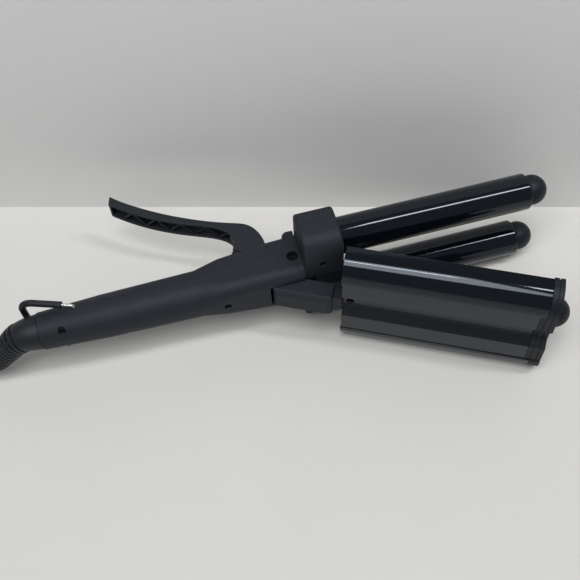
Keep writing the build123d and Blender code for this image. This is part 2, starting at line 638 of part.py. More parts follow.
def jaw_plate():
    sheet = barrel_circles(TROUGH_R + PLATE_T, SADDLE_R + PLATE_T) & below(COVER_RIM)
    sheet += Pos(COVER_RIM - PLATE_RIDGE / 2, 0) * Rectangle(PLATE_RIDGE, 2 * BARREL_PITCH)
    sheet -= barrel_circles(TROUGH_R, SADDLE_R)
    return yz_prism(sheet, PLATE_START, JAW_END - 0.5)


parts["jaw_plate"] = swing_open(jaw_plate())
cover = jaw_cover()
parts["jaw_cover_right"] = swing_open(cover)
parts["jaw_cover_left"] = swing_open(mirrored(cover))
parts["jaw_spine"] = swing_open(jaw_spine())
parts["jaw_end_cap"] = swing_open(jaw_end_cap())
parts["jaw_screw"] = swing_open(screw_y(SPINE_SCREW_X, 0, VALLEY_Y - SCREW_HEAD, TONGUE_TOP))


# ================================================================================ arm and lever
def at_pivot(shape):
    return Pos(0, PIVOT_Y, 0) * shape


def jaw_arm():
    """Hub on the pin, root block under the collar, tongue into the jaw and pad for the lever."""
    root_block = block(BLOCK_REAR, BLOCK_FRONT, BLOCK_BOTTOM, BLOCK_TOP, -BLOCK_HALF, BLOCK_HALF)
    under = root_block.faces().sort_by(Axis.Y)[0]
    root_block = chamfer(under.edges(), BLOCK_CHAMFER)
    arm = root_block + rod_z(HUB_R, -SPACER_SIDE, HUB_SIDE)
    arm += block(-HUB_R + 2, HUB_R - 2, BLOCK_TOP - 1, 0, -LINK_HALF, LINK_HALF)
    back = outline(((PAD_REAR, PAD_TOP - PAD_T), (PAD_REAR, PAD_TOP), (PAD_FRONT, PAD_TOP),
                    (-HUB_R * 0.5, HUB_R * 0.8), (-HUB_R * 0.5, -HUB_R * 0.8)))
    arm += xy_prism(back, -LINK_HALF, LINK_HALF)
    arm += block(BLOCK_FRONT - 1, JAW_START + 0.5, LINK_BOTTOM, BLOCK_TOP, -LINK_HALF, LINK_HALF)
    arm = at_pivot(arm)
    arm += block(JAW_START, JAW_START + TONGUE_LENGTH, TONGUE_LOW, TONGUE_TOP, -LINK_HALF, LINK_HALF)
    arm -= rod_z(PIN_R + RUNNING, -BEYOND, BEYOND, 0, PIVOT_Y)
    arm -= rod_y(SCREW_R, TONGUE_LOW - 1, TONGUE_TOP + 1, SPINE_SCREW_X)
    for x in LEVER_SCREW_X:
        arm -= rod_y(SCREW_R, PIVOT_Y - 5, 20, x)
        arm -= rod_y(SCREW_HEAD_R + SLIP, PIVOT_Y - 5, PIVOT_Y + PAD_TOP - PAD_T + SCREW_HEAD, x)
    return arm


def lever_face(lift):
    """Side view of the lever, with its underside raised by a distance."""
    top = Spline(*LEVER_TOP)
    under = Spline(*[(x, y + lift) for x, y in LEVER_UNDER])
    tail_line = Line(top @ 1, under @ 0)
    base = Polyline(under @ 1, (PAD_REAR, PAD_TOP), (PAD_FRONT - 0.5, PAD_TOP), top @ 0)
    return make_face(top + tail_line + under + base)


def lever_body():
    """A channel that is open underneath, with a zigzag of ribs inside."""
    half = LEVER_WIDTH / 2
    body = xy_prism(lever_face(0), -half, half)
    rear = LEVER_TOP[-1][0] + LEVER_WALL * 2
    roof = [(LEVER_CHANNEL_FRONT, LEVER_TOP[3][1] - LEVER_WALL)]
    roof += [(x, y - LEVER_WALL) for x, y in LEVER_TOP[3:-1]]
    share = (rear - LEVER_TOP[-2][0]) / (LEVER_TOP[-1][0] - LEVER_TOP[-2][0])
    roof_end = LEVER_TOP[-2][1] + share * (LEVER_TOP[-1][1] - LEVER_TOP[-2][1]) - LEVER_WALL
    roof += [(rear, roof_end), (rear, 0), (LEVER_CHANNEL_FRONT, 0)]
    inside = half - LEVER_WALL
    channel = xy_prism(outline(roof), -inside, inside)
    ribs = None
    count = int((LEVER_CHANNEL_FRONT - rear) / RIB_PITCH)
    angle = degrees(atan2(2 * inside, RIB_PITCH))
    for number in range(count):
        x = LEVER_CHANNEL_FRONT - RIB_PITCH * (number + 0.5)
        turn = angle if number % 2 else -angle
        rib = Pos(x, 0, 0) * Rot(0, turn, 0) * Box(RIB_PITCH + 3, BEYOND, RIB_T)
        ribs = rib if ribs is None else ribs + rib
    ribs = ribs & channel & xy_prism(lever_face(LEVER_LIP), -half, half)
    body = (body - channel) + ribs
    for x in LEVER_SCREW_X:
        body -= rod_y(SCREW_R, 0, LEVER_SCREW_TOP, x)
    return at_pivot(body)


parts["jaw_arm"] = swing_open(jaw_arm())
parts["lever"] = swing_open(lever_body())
parts["lever_screws"] = group([
    swing_open(screw_y(x, 0, PIVOT_Y + PAD_TOP - PAD_T, PIVOT_Y + LEVER_SCREW_TOP - SLIP))
    for x in LEVER_SCREW_X])


# ================================================================================ hinge
def pivot_pin():
    head = hub[1] - PIN_HEAD_SINK
    pin = rod_z(PIN_R, -hub[1] + 0.4, head, 0, PIVOT_Y)
    pin += rod_z(PIN_HEAD_R, head - PIN_HEAD_DEPTH, head, 0, PIVOT_Y)
    for turn in (0, 90):
        pin -= Pos(0, PIVOT_Y, head) * Rot(0, 0, turn) * Box(4.4, 1.0, 1.6)
    return pin


def return_spring():
    """Torsion spring round the pin, between the arm's hub and the right boss."""
    margin = SPRING_GAP + SPRING_LEG_RISE + SPRING_WIRE / 2
    low = HUB_SIDE + margin
    high = BOSS_FACE - margin
    coil = Pos(0, 0, low) * Helix((high - low) / SPRING_COILS, high - low, SPRING_R)
    wire = Circle(SPRING_WIRE / 2)
    spring = sweep(Plane(origin=coil @ 0, z_dir=coil % 0) * wire, path=coil, is_frenet=True)
    start_leg = extrude(Plane(origin=coil @ 0, z_dir=-(coil % 0)) * wire, amount=SPRING_LEG)
    end_leg = extrude(Plane(origin=coil @ 1, z_dir=coil % 1) * wire, amount=SPRING_LEG)
    return at_pivot(Rot(0, 0, 90) * (spring + start_leg + end_leg))


parts["pivot_pin"] = pivot_pin()
parts["return_spring"] = return_spring()


# ================================================================================ controls
BOARD_TOP = BOARD_Y + BOARD_T
SWITCH_TOP = BOARD_TOP + SWITCH_H
PANEL_UNDER = PANEL_Y - PANEL_T
LEAD_Y = BOARD_TOP + LEAD_R


def control_board():
    board = block(*BOARD_X, BOARD_Y, BOARD_TOP, -BOARD_HALF, BOARD_HALF)
    for x in BUTTONS.values():
        board += block(x - SWITCH_HALF, x + SWITCH_HALF, BOARD_TOP, SWITCH_TOP, -SWITCH_HALF, SWITCH_HALF)
    return board


def control_panel():
    panel = slot_prism(PANEL_HALF, *PANEL_X, PANEL_UNDER, PANEL_Y)
    reach = WINDOW_LENGTH / 2 + SLIP
    panel -= block(WINDOW_X - reach, WINDOW_X + reach, 0, BEYOND, -WINDOW_HALF - SLIP, WINDOW_HALF + SLIP)
    for x in BUTTONS.values():
        panel -= rod_y(BUTTON_R + SLIP, 0, BEYOND, x)
    return panel


def button(x):
    """Cap through the panel, a flange held under it and a stem above its switch."""
    flange_top = PANEL_UNDER - SLIP
    cap = rod_y(BUTTON_R, flange_top - BUTTON_FLANGE_T, PANEL_Y + BUTTON_PROUD, x)
    cap = chamfer(cap.edges().sort_by(Axis.Y)[-1], BUTTON_EDGE)
    cap += rod_y(BUTTON_R + BUTTON_FLANGE, flange_top - BUTTON_FLANGE_T, flange_top, x)
    return cap + rod_y(BUTTON_STEM_R, SWITCH_TOP + BUTTON_TRAVEL + 0.05, flange_top, x)


parts["control_board"] = control_board()
parts["control_panel"] = control_panel()
parts["display_module"] = block(WINDOW_X - WINDOW_LENGTH / 2, WINDOW_X + WINDOW_LENGTH / 2,
                                BOARD_TOP, PANEL_UNDER - SLIP, -DISPLAY_HALF, DISPLAY_HALF)
parts["display_window"] = block(WINDOW_X - WINDOW_LENGTH / 2, WINDOW_X + WINDOW_LENGTH / 2,
                                PANEL_UNDER, PANEL_Y, -WINDOW_HALF, WINDOW_HALF)
for name, x in BUTTONS.items():
    parts[name] = button(x)


def tube(points, radii, radius):
    """A round wire or cord along straight runs joined by tangent arcs."""
    path = FilletPolyline(*points, radius=radii)
    return sweep(Plane(origin=path @ 0, z_dir=path % 0) * Circle(radius), path=path)


def lead_pair(points, radius):
    """One lead on each side of the middle plane."""
    lead = tube(points, radius, LEAD_R)
    return group([lead, mirrored(lead)])


heater_rear = (BARREL_START + BARREL_END) / 2 - HEATER_LENGTH / 2
parts["heater_leads"] = lead_pair(
    ((BOARD_X[1] - LEAD_OVERLAP, LEAD_Y, LEAD_SIDE),) + HEATER_LEAD_ROUTE
    + ((heater_rear - TOUCH, 0, HEATER_LEAD_END),), HEATER_LEAD_BEND)
BOOT_FRONT = TAIL_X + WALL + SLIP + BOOT_FLANGE_T + BOOT_NOSE
parts["mains_leads"] = lead_pair(
    ((MAINS_LEAD_ROUTE[0][0] - MAINS_ENTRY, MAINS_LEAD_ROUTE[0][1], MAINS_LEAD_ROUTE[0][2]),)
    + MAINS_LEAD_ROUTE + ((BOARD_X[0] + MAINS_OVERLAP, LEAD_Y, LEAD_SIDE),), MAINS_LEAD_BEND)


# ================================================================================ hanging loop
def hanger_path(start):
    """The loop in its own plane: along it, and across the tool."""
    inner = handle_at(HANGER_X)[0] - WALL
    reach, half = HANGER_REACH, HANGER_HALF
    if start:
        points = ((start, half), (reach, half), (reach, -half), (start, -half))
        radii = [HANGER_END_R] * 2
    else:
        points = ((0, inner), (0, half), (reach, half), (reach, -half), (0, -half), (0, -inner))
        radii = [HANGER_BEND_R, HANGER_END_R, HANGER_END_R, HANGER_BEND_R]
    angle = radians(HANGER_ANGLE)
    placed = [(HANGER_X - u * cos(angle), SEAM_REAR + u * sin(angle), z) for u, z in points]
    return FilletPolyline(*placed, radius=radii)


wire_path = hanger_path(0)
sleeve_path = hanger_path(HANGER_BARE)
parts["hanger_wire"] = sweep(Plane(origin=wire_path @ 0, z_dir=wire_path % 0) * Circle(HANGER_WIRE_R),
                             path=wire_path)
sleeve_face = Circle(HANGER_SLEEVE_R) - Circle(HANGER_WIRE_R + 0.02)
parts["hanger_sleeve"] = sweep(Plane(origin=sleeve_path @ 0, z_dir=sleeve_path % 0) * sleeve_face,
                               path=sleeve_path)


# ================================================================================ cord
def boot_place(distance):
    """A plane across the boot's middle line, at a distance along it."""
    x, z, heading = TAIL_X, 0.0, 0.0
    stretches = ((BOOT_STRAIGHT, 0), (radians(BOOT_DROOP) * BOOT_DROOP_R, BOOT_DROOP), (BOOT_SLOPE, 0),
                 (radians(BOOT_LIFT) * BOOT_LIFT_R, -BOOT_LIFT))
    left = distance
    for length, turn in stretches:
        step = min(left, length)
        after = heading + radians(turn) * step / length
        middle = (heading + after) / 2
        half = abs(after - heading) / 2
        chord = step if half == 0 else step * sin(half) / half
        x -= chord * cos(middle)
        z -= chord * sin(middle)
        heading = after
        left -= step
    return Plane(origin=(x, TAIL_Y, z), x_dir=(0, 1, 0), z_dir=(-cos(heading), 0, -sin(heading)))


def boot_radius(distance):
    for near, far in zip(BOOT_STATIONS, BOOT_STATIONS[1:]):
        if near[0] <= distance <= far[0]:
            share = (distance - near[0]) / (far[0] - near[0])
            return near[1] + share * (far[1] - near[1])
    raise ValueError("the distance is past the boot's end")


def cord_boot():
    """Rubber strain relief: flange inside the handle, smooth bell, then ribs."""
    faces = [boot_place(distance) * Circle(radius) for distance, radius in BOOT_STATIONS]
    boot = loft(faces, ruled=True)
    length = BOOT_STATIONS[-1][0]
    count = int((length - 3 - BOOT_RIB_FROM) / BOOT_RIB_PITCH)
    for number in range(count):
        distance = BOOT_RIB_FROM + number * BOOT_RIB_PITCH
        ring = Circle(boot_radius(distance + BOOT_RIB_T / 2) + BOOT_RIB_PROUD)
        boot += extrude(boot_place(distance) * ring, amount=BOOT_RIB_T)
    inside = TAIL_X + WALL + SLIP
    boot += rod_x(BOOT_HOLE_R - SLIP, TAIL_X, inside, TAIL_Y)
    boot += rod_x(BOOT_FLANGE_R, inside, inside + BOOT_FLANGE_T, TAIL_Y)
    return boot + rod_x(CORD_R + 1, inside + BOOT_FLANGE_T, BOOT_FRONT, TAIL_Y)


FLOOR = -COLLAR_HALF
boot_end = boot_place(BOOT_STATIONS[-1][0])


def arc_radii(points):
    """Arc radius at each inner point of a cord's route."""
    found = []
    for before, here, after in zip(points, points[1:], points[2:]):
        arriving = Vector(*here) - Vector(*before)
        leaving = Vector(*after) - Vector(*here)
        turn = radians(arriving.get_angle(leaving))
        found.append(0.45 * min(arriving.length, leaving.length) / tan(turn / 2))
    return found


def cord_tube(name, points):
    radii = arc_radii(points)
    print(name, "radii", [round(radius, 1) for radius in radii])
    path = FilletPolyline(*points, radius=radii)
    solid = sweep(Plane(origin=path @ 0, z_dir=path % 0) * Circle(CORD_R), path=path)
    print(name, "volume", round(solid.volume), "section x length", round(pi * CORD_R ** 2 * path.length))
    return solid


cord_points = [tuple(boot_end.origin), tuple(boot_end.origin + boot_end.z_dir * CORD_LEAD)]
cord_points += CORD_ROUTE
coil_in = CORD_ROUTE[-1]
COIL_X = coil_in[0] - COIL_ENTRY
COIL_Y = coil_in[1] - COIL_TURN_R
coil_out = (COIL_X - COIL_TURN_R, COIL_Y - COIL_ENTRY, coil_in[2])
plug_points = [coil_out, (coil_out[0], coil_out[1] - CORD_LEAD, coil_out[2])]
plug_points += PLUG_ROUTE


def cord_coil():
    """Outer shape of the coiled cord, with the two straight stretches that leave it."""
    outer = COIL_TURN_R + COIL_HALF_WIDTH
    inner = COIL_TURN_R - COIL_HALF_WIDTH
    ring = rod_z(outer, FLOOR, FLOOR + COIL_HEIGHT, COIL_X, COIL_Y)
    ring = fillet(ring.edges(), 3.0)
    ring -= rod_z(inner, FLOOR - 1, FLOOR + COIL_HEIGHT + 1, COIL_X, COIL_Y)
    ring += rod_x(CORD_R, COIL_X, coil_in[0], coil_in[1], coil_in[2])
    return ring + rod_y(CORD_R, coil_out[1], COIL_Y, coil_out[0], coil_out[2])


def cord_tie():
    """A strap round the coil, on its side towards the handle."""
    low, high = FLOOR, FLOOR + COIL_HEIGHT
    middle = COIL_X + COIL_TURN_R
    half = COIL_HALF_WIDTH
    strap = block(middle - half - TIE_T, middle + half + TIE_T, COIL_Y - TIE_WIDTH / 2,
                  COIL_Y + TIE_WIDTH / 2, low, high + TIE_T)
    return strap


def cord_plug():
    """Flat two-pin plug, with a tapered neck round the cord."""
    start = Vector(*plug_points[-1])
    direction = (start - Vector(*plug_points[-2])).normalized()
    flat = Vector(direction.X, direction.Y, 0).normalized()
    place = Plane(origin=start, x_dir=(-flat.Y, flat.X, 0), z_dir=flat)
    neck_end = place.offset(PLUG_NECK_LENGTH) * Circle(PLUG_HEIGHT / 2 - 0.6)
    neck = loft([place * Circle(CORD_R + 1.0), neck_end])
    wide = 2 * PLUG_HALF_WIDTH
    section = RectangleRounded(wide, PLUG_HEIGHT, 5)
    slim = RectangleRounded(PLUG_HEIGHT + 3, PLUG_HEIGHT, 5)
    body = loft([place.offset(PLUG_NECK_LENGTH - 1) * slim, place.offset(PLUG_NECK_LENGTH + 9) * section],
                ruled=True)
    body += extrude(place.offset(PLUG_NECK_LENGTH + 9) * section, amount=PLUG_LENGTH - 9)
    face = place.offset(PLUG_NECK_LENGTH + PLUG_LENGTH)
    pins = []
    for side in (1, -1):
        pin = extrude(face * Pos(side * PLUG_PIN_PITCH / 2, 0) * Circle(PLUG_PIN_R), amount=PLUG_PIN_LENGTH)
        pins.append(fillet(pin.edges().sort_by(Axis(face.origin, flat))[-1], 1.2))
    return neck + body, group(pins)


parts["cord_boot"] = cord_boot()
parts["cord"] = group([cord_tube("cord", cord_points), cord_tube("plug end", plug_points)])
parts["cord_coil"] = cord_coil()
parts["cord_tie"] = cord_tie() - parts["cord_coil"]
parts["plug_body"], parts["plug_pins"] = cord_plug()

# ================================================================================ hand over
CORD_NODES = ("cord_boot", "cord", "cord_coil", "cord_tie", "plug_body", "plug_pins")
boxes = [shape.bounding_box() for name, shape in parts.items() if name not in CORD_NODES]
middle_x = (min(box.min.X for box in boxes) + max(box.max.X for box in boxes)) / 2
middle_y = (min(box.min.Y for box in boxes) + max(box.max.Y for box in boxes)) / 2
shift = Pos(-middle_x, -middle_y, -FLOOR)
print("shift", shift.position)
for name, shape in parts.items():
    export_step(shape.moved(shift), "parts/" + name + ".step")
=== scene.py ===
import json
import math

import bpy
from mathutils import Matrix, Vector

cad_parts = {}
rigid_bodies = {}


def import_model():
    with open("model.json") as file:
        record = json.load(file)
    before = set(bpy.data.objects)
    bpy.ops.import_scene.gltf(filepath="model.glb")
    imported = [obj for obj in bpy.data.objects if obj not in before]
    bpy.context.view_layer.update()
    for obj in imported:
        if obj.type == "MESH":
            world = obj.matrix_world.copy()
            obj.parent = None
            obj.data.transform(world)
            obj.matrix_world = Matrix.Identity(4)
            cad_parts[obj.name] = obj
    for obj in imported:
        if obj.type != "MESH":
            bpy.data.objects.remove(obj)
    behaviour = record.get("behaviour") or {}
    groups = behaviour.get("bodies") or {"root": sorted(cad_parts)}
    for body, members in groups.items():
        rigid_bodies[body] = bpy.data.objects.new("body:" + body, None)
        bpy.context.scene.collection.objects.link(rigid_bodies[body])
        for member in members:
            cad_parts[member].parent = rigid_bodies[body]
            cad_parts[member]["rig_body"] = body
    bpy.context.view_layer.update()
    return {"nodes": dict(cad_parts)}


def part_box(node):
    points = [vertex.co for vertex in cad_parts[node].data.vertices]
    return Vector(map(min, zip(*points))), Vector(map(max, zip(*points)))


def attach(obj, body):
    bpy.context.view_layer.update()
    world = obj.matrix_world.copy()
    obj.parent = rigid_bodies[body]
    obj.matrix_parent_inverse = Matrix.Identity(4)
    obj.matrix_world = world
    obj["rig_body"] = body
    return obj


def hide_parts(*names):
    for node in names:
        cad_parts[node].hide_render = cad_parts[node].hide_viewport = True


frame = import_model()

nodes = frame["nodes"]

# the tool's own frame: x from the jaw's pivot, y from the fixed barrels' axes, z from the middle plane
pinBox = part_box("pivot_pin")
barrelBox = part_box("barrel_right")
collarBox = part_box("collar_upper_half")
originX = (pinBox[0].x + pinBox[1].x) / 2
originY = (barrelBox[0].y + barrelBox[1].y) / 2
originZ = (collarBox[0].z + collarBox[1].z) / 2


def at(x, y, z):  # mm in the tool's frame to metres in the row frame
    return Vector((originX + x / 1000, originY + y / 1000, originZ + z / 1000))


def deselectAll():
    bpy.ops.object.select_all(action="DESELECT")


def pick(piece):
    deselectAll()
    piece.select_set(True)
    bpy.context.view_layer.objects.active = piece


def applyModifier(piece, name):
    pick(piece)
    bpy.ops.object.modifier_apply(modifier=name)


def smoothShade(angle=35):
    bpy.ops.object.shade_smooth_by_angle(angle=math.radians(angle))


def newLine(name, kind, places):  # a curve through places in metres
    deselectAll()
    bpy.ops.curve.primitive_nurbs_path_add()
    line = bpy.context.object
    line.name = name
    line.data.splines.clear()
    spline = line.data.splines.new(kind)
    spline.points.add(len(places) - 1)
    for point, place in zip(spline.points, places):
        point.co = (*place, 1)
    line.data.dimensions = "3D"
    return line, spline


def meshOf(line):
    pick(line)
    bpy.ops.object.convert(target="MESH")
    return bpy.context.object


# camera: place in mm in the tool's frame, turn in degrees
cameraSetup = {"place": (-67.2, -315.1, 470.6), "turn": (32.904, 2.147, -14.906), "lens": 51.44,
               "sensor": 36, "nearest": 0.01}


def makeCamera():
    bpy.ops.object.camera_add(location=at(*cameraSetup["place"]),
                              rotation=[math.radians(angle) for angle in cameraSetup["turn"]])
    camera = bpy.context.object
    camera.data.lens = cameraSetup["lens"]
    camera.data.sensor_width = cameraSetup["sensor"]
    camera.data.clip_start = cameraSetup["nearest"]
    bpy.context.scene.camera = camera


makeCamera()
print("camera made")


# node groups that several finishes share
def newGroup(name, inputs, outputs):
    group = bpy.data.node_groups.new(name, "ShaderNodeTree")
    for label, kind, value in inputs:
        socket = group.interface.new_socket(label, in_out="INPUT", socket_type=kind)
        socket.default_value = value
    for label, kind in outputs:
        group.interface.new_socket(label, in_out="OUTPUT", socket_type=kind)
    return group, group.nodes.new("NodeGroupInput"), group.nodes.new("NodeGroupOutput")


def plugIn(tree, source, socket):  # a plain number, or another node's output
    if isinstance(source, (int, float)):
        socket.default_value = source
    else:
        tree.links.new(source, socket)


def addMath(tree, operation, first, second):
    node = tree.nodes.new("ShaderNodeMath")
    node.operation = operation
    plugIn(tree, first, node.inputs[0])
    plugIn(tree, second, node.inputs[1])
    return node.outputs[0]


def addNoise(tree, coords, scale, detail, roughness):
    node = tree.nodes.new("ShaderNodeTexNoise")
    node.inputs["Detail"].default_value = detail
    node.inputs["Roughness"].default_value = roughness
    tree.links.new(coords, node.inputs["Vector"])
    plugIn(tree, scale, node.inputs["Scale"])
    return node.outputs["Fac"]


def addBlend(tree, amount, first, second):
    node = tree.nodes.new("ShaderNodeMix")
    node.data_type = "RGBA"
    tree.links.new(amount, node.inputs["Factor"])
    tree.links.new(first, node.inputs["A"])
    tree.links.new(second, node.inputs["B"])
    return node.outputs["Result"]


grainSetup = {"detail": 3.0, "roughness": 0.65, "patchDetail": 4.0, "patchRoughness": 0.6}


def makeGrainGroup():  # fine spark-eroded mould texture, with larger patches of more or less gloss
    group, inside, outside = newGroup(
        "mouldGrain",
        [("Scale", "NodeSocketFloat", 2600.0),
         ("Roughness", "NodeSocketFloat", 0.5),
         ("Spread", "NodeSocketFloat", 0.08),
         ("Patch Scale", "NodeSocketFloat", 60.0)],
        [("Height", "NodeSocketFloat"), ("Roughness", "NodeSocketFloat")])
    coords = group.nodes.new("ShaderNodeTexCoord").outputs["Object"]
    fine = addNoise(group, coords, inside.outputs["Scale"], grainSetup["detail"], grainSetup["roughness"])
    patch = addNoise(group, coords, inside.outputs["Patch Scale"], grainSetup["patchDetail"],
                     grainSetup["patchRoughness"])
    group.links.new(fine, outside.inputs["Height"])
    centred = addMath(group, "SUBTRACT", patch, 0.5)
    swing = addMath(group, "MULTIPLY", centred, inside.outputs["Spread"])
    doubled = addMath(group, "MULTIPLY", swing, 2.0)
    group.links.new(addMath(group, "ADD", doubled, inside.outputs["Roughness"]), outside.inputs["Roughness"])
    return group


# gain is how strongly the edges pale, a painted highlight mixed with wear; breaks and specks: noise scale,
# detail and roughness
edgeWearAndHighlightSetup = {"samples": 4, "gain": 6.0, "breaks": (420.0, 5.0, 0.7), "specks": (900.0, 6.0, 0.75),
            "speckRange": (0.52, 0.75)}


def makeEdgeWearAndHighlightGroup():  # paler edges, partly wear where hands and tables touch and partly a painted highlight along every edge, and thin dust on top
    group, inside, outside = newGroup(
        "edgeWearAndHighlight",
        [("Color", "NodeSocketColor", (0.03, 0.03, 0.03, 1)),
         ("Rubbed And Highlit Color", "NodeSocketColor", (0.1, 0.1, 0.1, 1)),
         ("Dust Color", "NodeSocketColor", (0.3, 0.3, 0.3, 1)),
         ("Rub And Highlight", "NodeSocketFloat", 0.5),
         ("Dust", "NodeSocketFloat", 0.05),
         ("Edge Width", "NodeSocketFloat", 0.0006)],
        [("Color", "NodeSocketColor")])
    coords = group.nodes.new("ShaderNodeTexCoord").outputs["Object"]
    geometry = group.nodes.new("ShaderNodeNewGeometry")
    # near every edge the bevel normal turns from the true normal; that mask pales the colour there, a painted
    # highlight mixed with wear
    bevel = group.nodes.new("ShaderNodeBevel")
    bevel.samples = edgeWearAndHighlightSetup["samples"]
    group.links.new(inside.outputs["Edge Width"], bevel.inputs["Radius"])
    dot = group.nodes.new("ShaderNodeVectorMath")
    dot.operation = "DOT_PRODUCT"
    group.links.new(bevel.outputs["Normal"], dot.inputs[0])
    group.links.new(geometry.outputs["Normal"], dot.inputs[1])
    turned = addMath(group, "SUBTRACT", 1.0, dot.outputs["Value"])
    edge = addMath(group, "MULTIPLY", turned, edgeWearAndHighlightSetup["gain"])
    broken = addMath(group, "MULTIPLY", edge, addNoise(group, coords, *edgeWearAndHighlightSetup["breaks"]))
    rubAndHighlight = addMath(group, "MULTIPLY", broken, inside.outputs["Rub And Highlight"])
    clamped = group.nodes.new("ShaderNodeClamp")
    group.links.new(rubAndHighlight, clamped.inputs["Value"])
    wornAndHighlit = addBlend(group, clamped.outputs[0], inside.outputs["Color"], inside.outputs["Rubbed And Highlit Color"])
    split = group.nodes.new("ShaderNodeSeparateXYZ")
    group.links.new(geometry.outputs["Normal"], split.inputs[0])
    top = addMath(group, "MAXIMUM", split.outputs["Z"], 0.0)
    speck = group.nodes.new("ShaderNodeMapRange")
    speck.inputs["From Min"].default_value, speck.inputs["From Max"].default_value = edgeWearAndHighlightSetup["speckRange"]
    group.links.new(addNoise(group, coords, *edgeWearAndHighlightSetup["specks"]), speck.inputs["Value"])
    film = addMath(group, "MULTIPLY", top, speck.outputs["Result"])
    amount = addMath(group, "MULTIPLY", film, inside.outputs["Dust"])
    group.links.new(addBlend(group, amount, wornAndHighlit, inside.outputs["Dust Color"]), outside.inputs["Color"])
    return group


grainGroup = makeGrainGroup()
edgeWearAndHighlightGroup = makeEdgeWearAndHighlightGroup()

